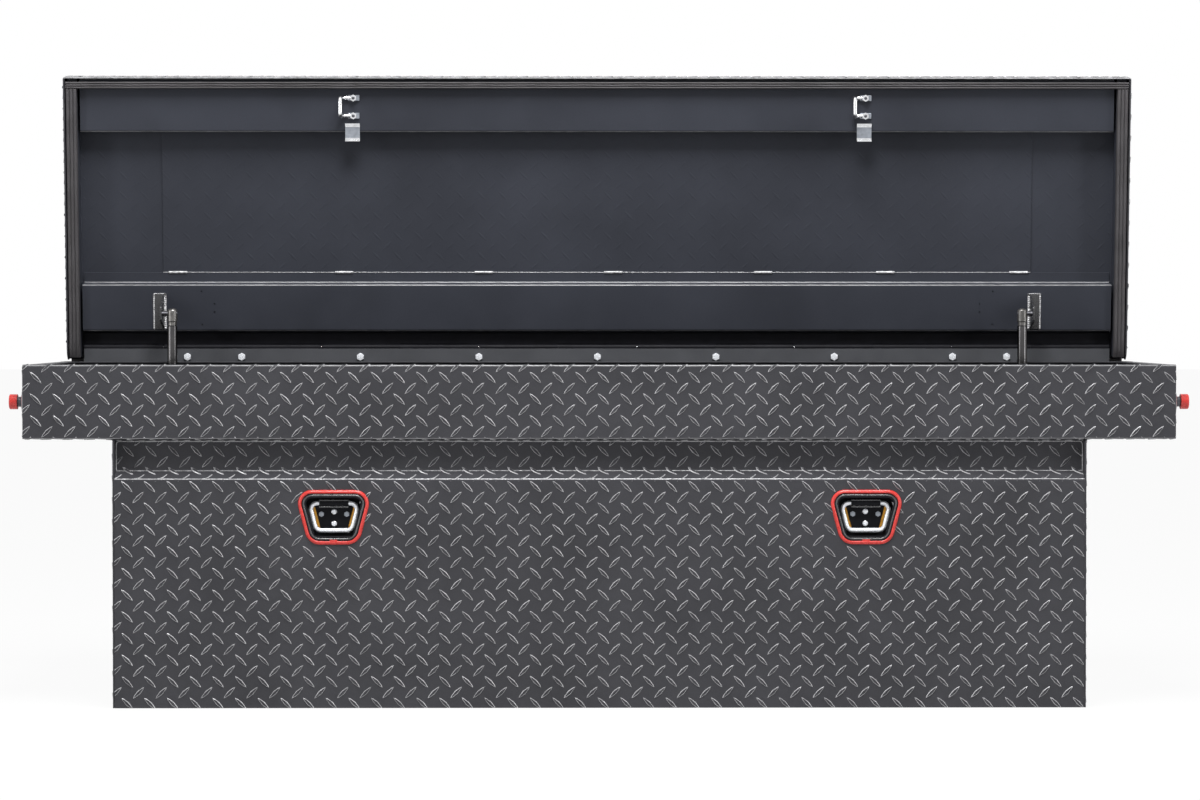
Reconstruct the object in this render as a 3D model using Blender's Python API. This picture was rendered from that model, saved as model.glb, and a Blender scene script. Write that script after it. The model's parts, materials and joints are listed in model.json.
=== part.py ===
"""Truck saddle box with its lid open: folded tread panels, hinged lid, gas struts, latches, tie-down rings.

Metres, +Z up. X runs along the box, the front faces -Y, and the origin is at the middle of the base.
The lid pieces are drawn shut, in a frame on the hinge axis, and that frame is turned to the open rest pose.
"""

import math

import bmesh
import bpy
from mathutils import Matrix, Vector

# Clearances
FIT_GAP = 0.0003
TURN_GAP = 0.0004
JOIN_OVERLAP = 0.001
CUT_MARGIN = 0.005

# Box
BOX_LENGTH = 1.816
BOX_DEPTH = 0.508
BOX_HEIGHT = 0.541
WING_WIDTH = 0.141
RAIL_HEIGHT = 0.117
SHEET = 0.0025
BEND_RADIUS = 0.004
RIM_FLANGE = 0.030
RECESS_DEPTH = 0.023
RECESS_CEILING_DROP = 0.003
RECESS_WALL_HEIGHT = 0.047
LEDGE_DROP = 0.0135

# Hinge
HINGE_SETBACK = 0.044
HINGE_RISE = 0.024
HINGE_END_INSET = 0.0275
HINGE_PIN_RADIUS = 0.0025
HINGE_LEAF = 0.002
HINGE_LEAF_WIDTH = 0.024
HINGE_KNUCKLES = 13
HINGE_BOLT_RISE = 0.0078
HINGE_BOLT_ACROSS = 0.0125
HINGE_BOLT_HEAD = 0.004
HINGE_BOLT_PITCH = 0.201
HINGE_BOLT_END = 0.695
HINGE_RAIL_FOOT = 0.022

# Lid, with distances from the hinge axis: reach is forward, drop is down, both with the lid shut
LID_OPEN_ANGLE = math.radians(85)
LID_END_INSET = 0.0105
LID_FRONT_INSET = 0.005
LID_REAR_OVERHANG = 0.020
LID_DEPTH = 0.045
LID_RIM_GAP = 0.001
LID_CHANNEL_SHEET = 0.002
LID_CHANNEL_FACE_DROP = 0.011
LID_FRONT_CHANNEL_WIDTH = 0.090
LID_CHANNEL_END_INSET = 0.0265
LID_REAR_CHANNEL_REACH = 0.028
LID_REAR_CHANNEL_WIDTH = 0.080
LID_REAR_CHANNEL_FLANGE = 0.018
LID_DOUBLER_END_INSET = 0.1605
SEAL_WIDTH = 0.018
FRONT_SEAL_WIDTH = 0.014
SEAL_PROUD = 0.0006

# Strikers and guide plates on the lid
STRIKER_X = 0.431
STRIKER_WIRE_RADIUS = 0.0035
STRIKER_LEG_SPACING = 0.030
STRIKER_SETBACK = 0.0565
STRIKER_BAR_DROP = 0.050
STRIKER_FOOT_LENGTH = 0.027
STRIKER_NUT_OFFSET = 0.016
STRIKER_NUT_ACROSS = 0.013
STRIKER_NUT_HEIGHT = 0.008
STRIKER_BEND = 0.006
GUIDE_WIDTH = 0.026
GUIDE_LENGTH = 0.030
GUIDE_LIP = 0.006

# Gas struts
STRUT_INSET = 0.052
STUD_REACH = 0.062
STUD_DROP = 0.055
STRUT_LENGTH = 0.400
STRUT_STROKE_ROOM = 0.117
STRUT_SOCKET_RADIUS = 0.009
STRUT_SOCKET_WIDTH = 0.017
STRUT_SOCKET_NECK = 0.020
STRUT_TUBE_RADIUS = 0.0085
STRUT_TUBE_LENGTH = 0.220
STRUT_ROD_RADIUS = 0.004
STRUT_EYE_RADIUS = 0.008
STRUT_EYE_WIDTH = 0.012
STUD_RADIUS = 0.004
STUD_END_GAP = 0.0005
BRACKET_SHEET = 0.003
FOOT_EAR_OFFSET = 0.011
FOOT_EAR_HEIGHT = 0.012
FOOT_SHELF_DROP = 0.015
FOOT_WALL_FLANGE = 0.030
FOOT_WIDTH = 0.030
LID_BRACKET_LENGTH = 0.060
LID_BRACKET_BASE = 0.017
LID_BRACKET_EAR_OFFSET = 0.017
LID_BRACKET_EAR_TOP = 0.024

# Push-button locks on the ends
LOCK_SETBACK = 0.038
LOCK_DROP = 0.059
LOCK_TRAVEL = 0.006
LOCK_BEZEL_RADIUS = 0.0235
LOCK_BEZEL_RISE = 0.006
LOCK_BEZEL_EDGE = 0.0012
LOCK_BARREL_RADIUS = 0.011
LOCK_BARREL_LENGTH = 0.020
LOCK_NUT_RADIUS = 0.017
LOCK_NUT_HEIGHT = 0.006
BUTTON_RADIUS = 0.012
BUTTON_LENGTH = 0.0128
BUTTON_ROUND = 0.002
BUTTON_NECK_RADIUS = 0.008
BUTTON_NECK_INSIDE = 0.0005
STEM_RADIUS = 0.005
STEM_LENGTH = 0.030
KEY_PLUG_RADIUS = 0.0052
KEY_PLUG_DEPTH = 0.006
KEY_SLOT = 0.0012
KEY_SLOT_LENGTH = 0.006
RELEASE_ROD_RADIUS = 0.003
ROD_JOGGLE_START = 0.070
ROD_JOGGLE_LENGTH = 0.050

# Latches under the strikers, with distances from the striker bar: outward is away from the middle of the box
CLAW_THICKNESS = 0.005
CLAW_PIVOT_OUT = 0.020
CLAW_PIVOT_DROP = 0.016
CLAW_BOSS_RADIUS = 0.008
CLAW_ARM_HALF = 0.007
CLAW_BEAK_LENGTH = 0.024
CLAW_BEAK_HEIGHT = 0.006
CLAW_BAR_GAP = 0.0005
CLAW_OPEN_ANGLE = math.radians(40)
LATCH_PIN_RADIUS = 0.004
PAWL_THICKNESS = 0.004
PAWL_PIVOT_OUT = 0.044
PAWL_PIVOT_DROP = 0.016
PAWL_PAD_OUT = 0.0057
PAWL_ARM_BACK = 0.0055
PAWL_TAIL = 0.024
PAWL_CROWN = 0.008
PAWL_NOSE = 0.022
PAWL_NOSE_RISE = 0.012
PAWL_NOSE_HEIGHT = 0.005
HOUSING_INNER = 0.022
HOUSING_OUTER = 0.054
HOUSING_RISE = 0.012
HOUSING_SHELF_DROP = 0.065
HOUSING_WALL_FLANGE = 0.025
HOUSING_NOTCH_HALF = 0.006
HOUSING_NOTCH_DEPTH = 0.008

# Recessed tie-downs in the front
TIE_X = 0.4195
TIE_DROP = 0.0595
BEZEL_WIDTH = 0.112
BEZEL_HEIGHT = 0.086
BEZEL_SIDE_SLOPE = math.radians(15)
BEZEL_TOP_RADIUS = 0.022
BEZEL_BOTTOM_RADIUS = 0.017
BEZEL_BAND = 0.0055
BEZEL_THICKNESS = 0.003
TRAY_LIP = 0.005
TRAY_LIP_THICKNESS = 0.002
TRAY_WALL = 0.0018
TRAY_DEPTH = 0.024
CUTOUT_GAP = 0.0005
BACKING_THICKNESS = 0.0015
BACKING_WIDTH = 0.074
BACKING_HEIGHT = 0.044
TIE_PLATE_THICKNESS = 0.002
TIE_PLATE_WIDTH = 0.066
TIE_PLATE_HEIGHT = 0.050
TIE_BOLT_RADIUS = 0.0045
TIE_BOLT_HEAD = 0.003
TIE_BOLT_OUT = 0.020
TIE_BOLT_UPPER = 0.008
TIE_BOLT_LOWER = 0.011
TIE_BOLT_SIDE = 0.004
RING_WIRE_RADIUS = 0.0035
RING_TOP_WIDTH = 0.079
RING_BOTTOM_WIDTH = 0.059
RING_HEIGHT = 0.050
RING_CORNER = 0.010
SLEEVE_RADIUS = 0.006
SLEEVE_LENGTH = 0.046

# Facets
BEND_STEPS = 3
CORNER_STEPS = 5
ROUND_SIDES = 16
WIRE_ARC_STEPS = 4

# Places worked out from the sizes above
HALF_LENGTH = BOX_LENGTH / 2
LOWER_HALF = HALF_LENGTH - WING_WIDTH
LOWER_INSIDE = LOWER_HALF - SHEET
STRUT_X = LOWER_HALF - STRUT_INSET
FRONT_Y = -BOX_DEPTH / 2
BACK_Y = BOX_DEPTH / 2
WALL_INSIDE_Y = FRONT_Y + SHEET
WING_Z = BOX_HEIGHT - RAIL_HEIGHT
LEDGE_TOP_Z = WING_Z - RECESS_CEILING_DROP - RECESS_WALL_HEIGHT
TIE_Z = LEDGE_TOP_Z - LEDGE_DROP - TIE_DROP
LID_LENGTH = BOX_LENGTH - 2 * LID_END_INSET
LID_CHANNEL_LENGTH = LID_LENGTH - 2 * LID_CHANNEL_END_INSET
LID_DOUBLER_LENGTH = LID_LENGTH - 2 * LID_DOUBLER_END_INSET
HINGE_LENGTH = LID_LENGTH - 2 * HINGE_END_INSET
HINGE_Y = BACK_Y - HINGE_SETBACK
HINGE_Z = BOX_HEIGHT + HINGE_RISE
HINGE_BORE = HINGE_PIN_RADIUS + TURN_GAP
KNUCKLE_RADIUS = HINGE_BORE + HINGE_LEAF
KNUCKLE_ROOM = KNUCKLE_RADIUS + TURN_GAP
LID_FRONT_REACH = BOX_DEPTH - HINGE_SETBACK - LID_FRONT_INSET
LID_RIM_DROP = HINGE_RISE - LID_RIM_GAP
LID_TOP_RISE = LID_DEPTH - LID_RIM_DROP
LID_SKIN_DROP = SHEET - LID_TOP_RISE
LID_BEND_ROOM = max(SHEET, BEND_RADIUS) + FIT_GAP
SEAL_TOP_DROP = LID_CHANNEL_FACE_DROP + FIT_GAP
STRIKER_Y = FRONT_Y + STRIKER_SETBACK
STRIKER_REACH = HINGE_Y - STRIKER_Y
STRIKER_Z = HINGE_Z - STRIKER_BAR_DROP
LOCK_Y = FRONT_Y + LOCK_SETBACK
LOCK_Z = BOX_HEIGHT - LOCK_DROP
BUTTON_BACK = LOCK_BEZEL_RISE + LOCK_TRAVEL + TURN_GAP
TRAY_FLOOR_Y = FRONT_Y + TRAY_DEPTH - TRAY_WALL
BACKING_Y = TRAY_FLOOR_Y - FIT_GAP - BACKING_THICKNESS
TIE_PLATE_Y = BACKING_Y - FIT_GAP - TIE_PLATE_THICKNESS
RING_Y = TIE_PLATE_Y - FIT_GAP - SLEEVE_RADIUS
RING_AXIS_Z = TIE_Z + RING_HEIGHT / 2 - RING_WIRE_RADIUS
SIDES = (("left", -1), ("right", 1))


# Finishes

def finish(name, colour, roughness, metallic):
    """A plain Principled finish."""
    material = bpy.data.materials.new(name)
    material.use_nodes = True
    shader = material.node_tree.nodes["Principled BSDF"]
    shader.inputs["Base Color"].default_value = (*colour, 1)
    shader.inputs["Roughness"].default_value = roughness
    shader.inputs["Metallic"].default_value = metallic
    material.diffuse_color = (*colour, 1)
    return material


# Outlines

def rounded_path(points, radius, steps, closed=False):
    """The points as vectors, with each corner turned into an arc of the given radius, or of its own."""
    corners = [Vector(point) for point in points]
    count = len(corners)
    radii = radius if isinstance(radius, list) else [radius] * count
    path = []
    for i, corner in enumerate(corners):
        if not closed and i in (0, count - 1):
            path.append(corner)
            continue
        back = corners[i - 1] - corner
        ahead = corners[(i + 1) % count] - corner
        half = back.angle(ahead) / 2
        if math.pi / 2 - half < 0.001:
            path.append(corner)
            continue
        room = min(back.length, ahead.length) * 0.49
        reach = min(radii[i] / math.tan(half), room)
        bisector = (back.normalized() + ahead.normalized()).normalized()
        centre = corner + bisector * (reach / math.cos(half))
        first = corner + back.normalized() * reach - centre
        last = corner + ahead.normalized() * reach - centre
        size = first.length
        first.normalize()
        last.normalize()
        for step in range(steps + 1):
            path.append(centre + first.slerp(last, step / steps) * size)
    return path


def offset_path(path, distance):
    """A flat open path moved to its left, with mitred corners."""
    lefts = []
    for here, after in zip(path, path[1:]):
        along = (after - here).normalized()
        lefts.append(Vector((-along.y, along.x)))
    moved = [path[0] + lefts[0] * distance]
    for corner, before, after in zip(path[1:], lefts, lefts[1:]):
        moved.append(corner + (before + after) * (distance / (1 + before.dot(after))))
    moved.append(path[-1] + lefts[-1] * distance)
    return moved


def sheet_outline(points, thickness):
    """The section of a folded sheet whose outer face follows the points, thickened to the left."""
    path = rounded_path(points, BEND_RADIUS, BEND_STEPS)
    return path + offset_path(path, thickness)[::-1]


def inset_corners(corners, distance):
    """A convex outline, drawn counter-clockwise, with every side moved inwards."""
    corners = [Vector(corner) for corner in corners]
    moved = []
    for i, corner in enumerate(corners):
        before = (corner - corners[i - 1]).normalized()
        after = (corners[(i + 1) % len(corners)] - corner).normalized()
        left = Vector((-before.y, before.x)) + Vector((-after.y, after.x))
        moved.append(corner + left * (distance / (1 + before.dot(after))))
    return moved


def tie_down_outline(inset):
    """The tie-down's tapered outline about its middle, narrowed by an inset."""
    half_corner = (math.pi / 2 - BEZEL_SIDE_SLOPE) / 2
    half_top = BEZEL_WIDTH / 2 + BEZEL_TOP_RADIUS * (1 / math.tan(half_corner) - 1)
    half_bottom = half_top - BEZEL_HEIGHT * math.tan(BEZEL_SIDE_SLOPE)
    half_height = BEZEL_HEIGHT / 2
    corners = [
        (-half_bottom, -half_height),
        (half_bottom, -half_height),
        (half_top, half_height),
        (-half_top, half_height),
    ]
    corners = inset_corners(corners, inset)
    top_radius = BEZEL_TOP_RADIUS - inset
    bottom_radius = BEZEL_BOTTOM_RADIUS - inset
    radii = [bottom_radius, bottom_radius, top_radius, top_radius]
    return rounded_path(corners, radii, CORNER_STEPS, closed=True)


def shifted(outline, across, up):
    return [Vector((point[0] + across, point[1] + up)) for point in outline]


# Solids in a bmesh

PLACES = {
    "X": lambda a, b, along: (along, a, b),
    "Y": lambda a, b, along: (a, along, b),
    "Z": lambda a, b, along: (a, b, along),
}
AXES = {"X": Vector((1, 0, 0)), "Y": Vector((0, 1, 0)), "Z": Vector((0, 0, 1))}
TURNS = {
    "X": Matrix.Rotation(math.pi / 2, 4, "Y"),
    "Y": Matrix.Rotation(-math.pi / 2, 4, "X"),
    "Z": Matrix.Identity(4),
}


def add_prism(bm, outline, axis, start, end):
    """A flat outline extruded along an axis."""
    place = PLACES[axis]
    face = bm.faces.new([bm.verts.new(place(point[0], point[1], start)) for point in outline])
    extruded = bmesh.ops.extrude_face_region(bm, geom=[face])
    moved = [item for item in extruded["geom"] if isinstance(item, bmesh.types.BMVert)]
    bmesh.ops.translate(bm, verts=moved, vec=AXES[axis] * (end - start))
    return bm


def add_block(bm, low, high):
    """A block between two corners."""
    low = Vector(low)
    high = Vector(high)
    size = Matrix.Diagonal((*(high - low), 1))
    bmesh.ops.create_cube(bm, size=1, matrix=Matrix.Translation((low + high) / 2) @ size)
    return bm


def add_cylinder(bm, axis, centre, radius, length, sides=ROUND_SIDES):
    """A cylinder about its middle."""
    bmesh.ops.create_cone(
        bm,
        cap_ends=True,
        segments=sides,
        radius1=radius,
        radius2=radius,
        depth=length,
        matrix=Matrix.Translation(centre) @ TURNS[axis],
    )
    return bm


def add_turned(bm, profile, axis, centre, sides=ROUND_SIDES):
    """A closed profile of (radius, along) points turned about an axis, which may be one of its sides."""
    turn = Matrix.Translation(centre) @ TURNS[axis]
    verts = [bm.verts.new(turn @ Vector((radius, 0, along))) for radius, along in profile]
    edges = []
    for i, (radius, _) in enumerate(profile):
        if radius > 0 or profile[i - 1][0] > 0:
            edges.append(bm.edges.new((verts[i - 1], verts[i])))
    bmesh.ops.spin(
        bm,
        geom=verts + edges,
        cent=centre,
        axis=AXES[axis],
        angle=2 * math.pi,
        steps=sides,
        use_merge=True,
    )
    bmesh.ops.remove_doubles(bm, verts=bm.verts, dist=1e-6)
    bmesh.ops.dissolve_degenerate(bm, edges=bm.edges, dist=1e-6)
    return bm


def add_wire(bm, points, radius, closed=False):
    """A round wire along the points."""
    curve = bpy.data.curves.new("wire", "CURVE")
    curve.dimensions = "3D"
    curve.bevel_depth = radius
    curve.bevel_resolution = 2
    curve.use_fill_caps = True
    spline = curve.splines.new("POLY")
    spline.points.add(len(points) - 1)
    spline.use_cyclic_u = closed
    for place, point in zip(spline.points, points):
        place.co = (*point, 1)
    holder = bpy.data.objects.new("wire", curve)
    bpy.context.scene.collection.objects.link(holder)
    graph = bpy.context.evaluated_depsgraph_get()
    mesh = bpy.data.meshes.new_from_object(holder.evaluated_get(graph))
    bm.from_mesh(mesh)
    bpy.data.objects.remove(holder)
    bpy.data.meshes.remove(mesh)
    bmesh.ops.remove_doubles(bm, verts=bm.verts, dist=1e-6)
    return bm


def hole_radius(radius, gap, sides=ROUND_SIDES):
    """The corner radius of a faceted hole that clears a shaft on its flats too."""
    return (radius + gap) / math.cos(math.pi / sides)


# Objects

def link_mesh(name, bm, origin, parent, closed=True):
    bmesh.ops.translate(bm, verts=bm.verts, vec=-Vector(origin))
    if closed:
        bmesh.ops.recalc_face_normals(bm, faces=bm.faces)
    mesh = bpy.data.meshes.new(name)
    bm.to_mesh(mesh)
    bm.free()
    mesh.shade_smooth()
    mesh.set_sharp_from_angle(angle=math.radians(30))
    obj = bpy.data.objects.new(name, mesh)
    obj.location = origin
    obj.parent = parent
    bpy.context.scene.collection.objects.link(obj)
    return obj


def make(name, bm, material, origin=(0, 0, 0), parent=None, closed=True):
    """A named piece, with its origin where it is carried or turns."""
    obj = link_mesh(name, bm, origin, parent, closed)
    obj.data.materials.append(material)
    return obj


def thicken(sheet, offset):
    """An open surface turned into sheet, on the side of its normals or against them."""
    modifier = sheet.modifiers.new("sheet", "SOLIDIFY")
    modifier.thickness = SHEET
    modifier.offset = offset
    modifier.use_even_offset = True
    modifier.use_quality_normals = True


def combine(target, bm, operation):
    """A Boolean on a piece, with a hidden helper in the piece's own frame."""
    helper = link_mesh(f"{target.name}_{operation.lower()}", bm, target.location, target.parent)
    helper.hide_render = True
    helper.display_type = "WIRE"
    modifier = target.modifiers.new(helper.name, "BOOLEAN")
    modifier.operation = operation
    modifier.solver = "EXACT"
    modifier.object = helper


def fuse(target, bm):
    combine(target, bm, "UNION")


def cut(target, bm):
    combine(target, bm, "DIFFERENCE")


# Box shell

def make_folded(name, path, axis, stations, keep, material):
    """A folded sheet: a path swept over the stations, thickened to the left of the path."""
    bm = bmesh.new()
    place = PLACES[axis]
    rows = [[bm.verts.new(place(point.x, point.y, station)) for station in stations] for point in path]
    for i in range(len(path) - 1):
        across = (path[i] + path[i + 1]) / 2
        for j in range(len(stations) - 1):
            along = (stations[j] + stations[j + 1]) / 2
            if keep(across, along):
                bm.faces.new((rows[i][j], rows[i][j + 1], rows[i + 1][j + 1], rows[i + 1][j]))
    bmesh.ops.delete(bm, geom=[vert for vert in bm.verts if not vert.link_faces], context="VERTS")
    sheet = make(name, bm, material, closed=False)
    thicken(sheet, 1 if axis == "X" else -1)
    return sheet


def long_stations():
    """Where the long sheets step from the lower body out to the wings."""
    inside = LOWER_INSIDE - FIT_GAP
    return [-HALF_LENGTH, -inside, inside, HALF_LENGTH]


def keep_long(across, along):
    """The wings have sheet only above their floor."""
    return across.y > WING_Z or abs(along) < LOWER_HALF


def make_front_panel(tread):
    rail_foot = (FRONT_Y, WING_Z)
    upper = [(FRONT_Y + RIM_FLANGE, BOX_HEIGHT), (FRONT_Y, BOX_HEIGHT), rail_foot]
    lower = [
        rail_foot,
        (FRONT_Y + RECESS_DEPTH, WING_Z - RECESS_CEILING_DROP),
        (FRONT_Y + RECESS_DEPTH, LEDGE_TOP_Z),
        (FRONT_Y, LEDGE_TOP_Z - LEDGE_DROP),
        (FRONT_Y, 0),
    ]
    path = rounded_path(upper, BEND_RADIUS, BEND_STEPS)
    path += rounded_path(lower, BEND_RADIUS, BEND_STEPS)[1:]
    panel = make_folded("front_panel", path, "X", long_stations(), keep_long, tread)
    windows = bmesh.new()
    window = tie_down_outline(BEZEL_BAND + TRAY_LIP)
    for _, side in SIDES:
        outline = shifted(window, side * TIE_X, TIE_Z)
        add_prism(windows, outline, "Y", FRONT_Y - CUT_MARGIN, FRONT_Y + SHEET + CUT_MARGIN)
    cut(panel, windows)


def make_back_panel(tread):
    shelf = (BACK_Y - HINGE_SETBACK - HINGE_RAIL_FOOT, BOX_HEIGHT)
    points = [(BACK_Y, 0), (BACK_Y, WING_Z), (BACK_Y, BOX_HEIGHT), shelf]
    path = rounded_path(points, BEND_RADIUS, BEND_STEPS)
    make_folded("back_panel", path, "X", long_stations(), keep_long, tread)


def make_floor_panel(tread):
    reach = LOWER_INSIDE - FIT_GAP
    depth = BACK_Y - SHEET - FIT_GAP
    make("floor_panel", add_block(bmesh.new(), (-reach, -depth, 0), (reach, depth, SHEET)), tread)


def make_end_panel(name, side, tread):
    """One folded sheet: rim flange, end wall, wing floor and lower wall."""
    points = [
        (side * (HALF_LENGTH - RIM_FLANGE), BOX_HEIGHT),
        (side * HALF_LENGTH, BOX_HEIGHT),
        (side * HALF_LENGTH, WING_Z),
        (side * LOWER_HALF, WING_Z),
        (side * LOWER_HALF, 0),
    ]
    path = rounded_path(points[::-side], BEND_RADIUS, BEND_STEPS)
    wall_front = FRONT_Y + SHEET + FIT_GAP
    wall_back = BACK_Y - SHEET - FIT_GAP
    flange_front = FRONT_Y + RIM_FLANGE + FIT_GAP
    flange_back = BACK_Y - HINGE_SETBACK - HINGE_RAIL_FOOT - FIT_GAP
    stations = [FRONT_Y, wall_front, flange_front, flange_back, wall_back, BACK_Y]

    def keep(across, along):
        if across.y > BOX_HEIGHT - BEND_RADIUS:
            return flange_front < along < flange_back
        if across.y > WING_Z - BEND_RADIUS:
            return wall_front < along < wall_back
        return True

    panel = make_folded(f"{name}_end_panel", path, "Y", stations, keep, tread)
    hole = bmesh.new()
    centre = (side * HALF_LENGTH, LOCK_Y, LOCK_Z)
    add_cylinder(hole, "X", centre, hole_radius(LOCK_BARREL_RADIUS, FIT_GAP), 2 * SHEET + 2 * CUT_MARGIN)
    cut(panel, hole)


# Hinge

def make_hinge_rail(steel):
    """The angle behind the opening that carries the hinge."""
    face = HINGE_Y - HINGE_BORE + FIT_GAP
    seat = BOX_HEIGHT + FIT_GAP
    top = HINGE_Z - KNUCKLE_ROOM
    outline = sheet_outline([(face, top), (face, seat), (face + HINGE_RAIL_FOOT, seat)], SHEET)
    half = HINGE_LENGTH / 2
    make("hinge_rail", add_prism(bmesh.new(), outline, "X", -half, half), steel)


def rolled_leaf_section(width):
    """A hinge leaf about the pin: a flat that hangs down and a knuckle rolled round the pin."""
    roll_steps = ROUND_SIDES
    roll = math.radians(290)
    outer = []
    inner = []
    for step in range(roll_steps + 1):
        angle = math.pi - roll * step / roll_steps
        around = Vector((math.cos(angle), math.sin(angle)))
        outer.append(around * KNUCKLE_RADIUS)
        inner.append(around * HINGE_BORE / math.cos(roll / roll_steps / 2))
    return [Vector((-KNUCKLE_RADIUS, -width)), *outer, *inner[::-1], Vector((-HINGE_BORE, -width))]


def add_knuckle_gaps(bm, first):
    """Blocks that clear every second knuckle of a leaf, about the pin."""
    pitch = HINGE_LENGTH / HINGE_KNUCKLES
    for index in range(first, HINGE_KNUCKLES, 2):
        start = index * pitch - HINGE_LENGTH / 2
        end = start + pitch
        start -= CUT_MARGIN if index == 0 else FIT_GAP / 2
        end += CUT_MARGIN if index == HINGE_KNUCKLES - 1 else FIT_GAP / 2
        add_block(bm, (start, -KNUCKLE_ROOM, -KNUCKLE_ROOM), (end, KNUCKLE_ROOM, KNUCKLE_ROOM))
    return bm


def hinge_bolt_places():
    """Bolts at an even pitch, and one more near each end."""
    places = []
    across = 0
    while across < HINGE_BOLT_END - HINGE_BOLT_ACROSS:
        places += [across, -across] if across else [0]
        across += HINGE_BOLT_PITCH
    return places + [HINGE_BOLT_END, -HINGE_BOLT_END]


def make_hinge(zinc, steel, lid):
    half = HINGE_LENGTH / 2
    box_width = HINGE_RISE - SHEET
    section = shifted(rolled_leaf_section(box_width), HINGE_Y, HINGE_Z)
    leaf = make("hinge_body_leaf", add_prism(bmesh.new(), section, "X", -half, half), steel)
    gaps = add_knuckle_gaps(bmesh.new(), 1)
    bmesh.ops.translate(gaps, verts=gaps.verts, vec=(0, HINGE_Y, HINGE_Z))
    cut(leaf, gaps)
    heads = bmesh.new()
    head_y = HINGE_Y - KNUCKLE_RADIUS - HINGE_BOLT_HEAD / 2 + JOIN_OVERLAP / 2
    for across in hinge_bolt_places():
        centre = (across, head_y, BOX_HEIGHT + HINGE_BOLT_RISE)
        add_cylinder(heads, "Y", centre, HINGE_BOLT_ACROSS / 2, HINGE_BOLT_HEAD + JOIN_OVERLAP, 6)
    fuse(leaf, heads)
    turned = [Vector((point.y, -point.x)) for point in rolled_leaf_section(HINGE_LEAF_WIDTH)]
    lid_leaf = make("hinge_lid_leaf", add_prism(bmesh.new(), turned, "X", -half, half), steel, parent=lid)
    cut(lid_leaf, add_knuckle_gaps(bmesh.new(), 0))
    pin = add_cylinder(bmesh.new(), "X", (0, HINGE_Y, HINGE_Z), HINGE_PIN_RADIUS, HINGE_LENGTH)
    make("hinge_pin", pin, zinc)


# Lid, drawn shut in its hinge frame: y is minus the reach, z is minus the drop

def lid_points(points):
    return [(-reach, -drop) for reach, drop in points]


def make_lid_skin(tread, lid):
    """The tread pan: top, front skirt, rear wall with a return flange, side skirts round about the hinge."""
    leaf_top = KNUCKLE_RADIUS + FIT_GAP
    half = LID_LENGTH / 2
    front = -LID_FRONT_REACH
    rear = LID_REAR_OVERHANG
    swing_end = math.asin(rear / LID_RIM_DROP)
    bm = bmesh.new()
    columns = []
    for x in (-half, half):
        corners = [
            (x, rear, leaf_top + FIT_GAP),
            (x, rear, LID_TOP_RISE),
            (x, front, LID_TOP_RISE),
            (x, front, -LID_RIM_DROP),
        ]
        for angle in (0, swing_end / 2, swing_end):
            corners.append((x, LID_RIM_DROP * math.sin(angle), -LID_RIM_DROP * math.cos(angle)))
        columns.append([bm.verts.new(corner) for corner in corners])
    left, right = columns
    bm.faces.new(left[::-1])
    bm.faces.new(right)
    for i in range(3):
        bm.faces.new((left[i], left[i + 1], right[i + 1], right[i]))
    bmesh.ops.recalc_face_normals(bm, faces=bm.faces)
    rear_corners = [bm.edges.get(left[:2]), bm.edges.get(right[:2])]
    folds = [edge for edge in bm.edges if edge.is_manifold and edge not in rear_corners]
    bmesh.ops.bevel(
        bm,
        geom=folds,
        offset=BEND_RADIUS,
        offset_type="OFFSET",
        segments=BEND_STEPS,
        profile=0.5,
        affect="EDGES",
        material=-1,
    )
    skin = make("lid_skin", bm, tread, parent=lid, closed=False)
    thicken(skin, -1)
    reach = half - LID_BEND_ROOM - SEAL_WIDTH - FIT_GAP
    low = (-reach, -HINGE_LEAF_WIDTH, leaf_top)
    high = (reach, rear - SHEET / 2, leaf_top + SHEET)
    fuse(skin, add_block(bmesh.new(), low, high))


def channel_outline(near, far):
    """A channel that stands on the skin, open to it."""
    seat = LID_SKIN_DROP + FIT_GAP
    points = [
        (far, seat),
        (far, LID_CHANNEL_FACE_DROP),
        (near, LID_CHANNEL_FACE_DROP),
        (near, seat),
    ]
    return sheet_outline(lid_points(points), LID_CHANNEL_SHEET)


def front_channel_far():
    return LID_FRONT_REACH - LID_BEND_ROOM


def front_channel_near():
    return front_channel_far() - LID_FRONT_CHANNEL_WIDTH


def rear_channel_far():
    return LID_REAR_CHANNEL_REACH + LID_REAR_CHANNEL_WIDTH


def rear_flange_far():
    return rear_channel_far() + LID_REAR_CHANNEL_FLANGE


def make_lid_channels(panel, lid):
    half = LID_CHANNEL_LENGTH / 2
    front = channel_outline(front_channel_near(), front_channel_far())
    make("lid_front_channel", add_prism(bmesh.new(), front, "X", -half, half), panel, parent=lid)
    seat = LID_SKIN_DROP + FIT_GAP
    flange_face = seat + LID_CHANNEL_SHEET
    far = rear_channel_far()
    points = [
        (rear_flange_far(), flange_face),
        (far, flange_face),
        (far, LID_CHANNEL_FACE_DROP),
        (LID_REAR_CHANNEL_REACH, LID_CHANNEL_FACE_DROP),
        (LID_REAR_CHANNEL_REACH, seat),
    ]
    rear = sheet_outline(lid_points(points), LID_CHANNEL_SHEET)
    make("lid_rear_channel", add_prism(bmesh.new(), rear, "X", -half, half), panel, parent=lid)
    low = (-LID_DOUBLER_LENGTH / 2, FIT_GAP - front_channel_near(), -seat - LID_CHANNEL_SHEET)
    high = (LID_DOUBLER_LENGTH / 2, -rear_flange_far() - FIT_GAP, -seat)
    make("lid_doubler", add_block(bmesh.new(), low, high), panel, parent=lid)


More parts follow.
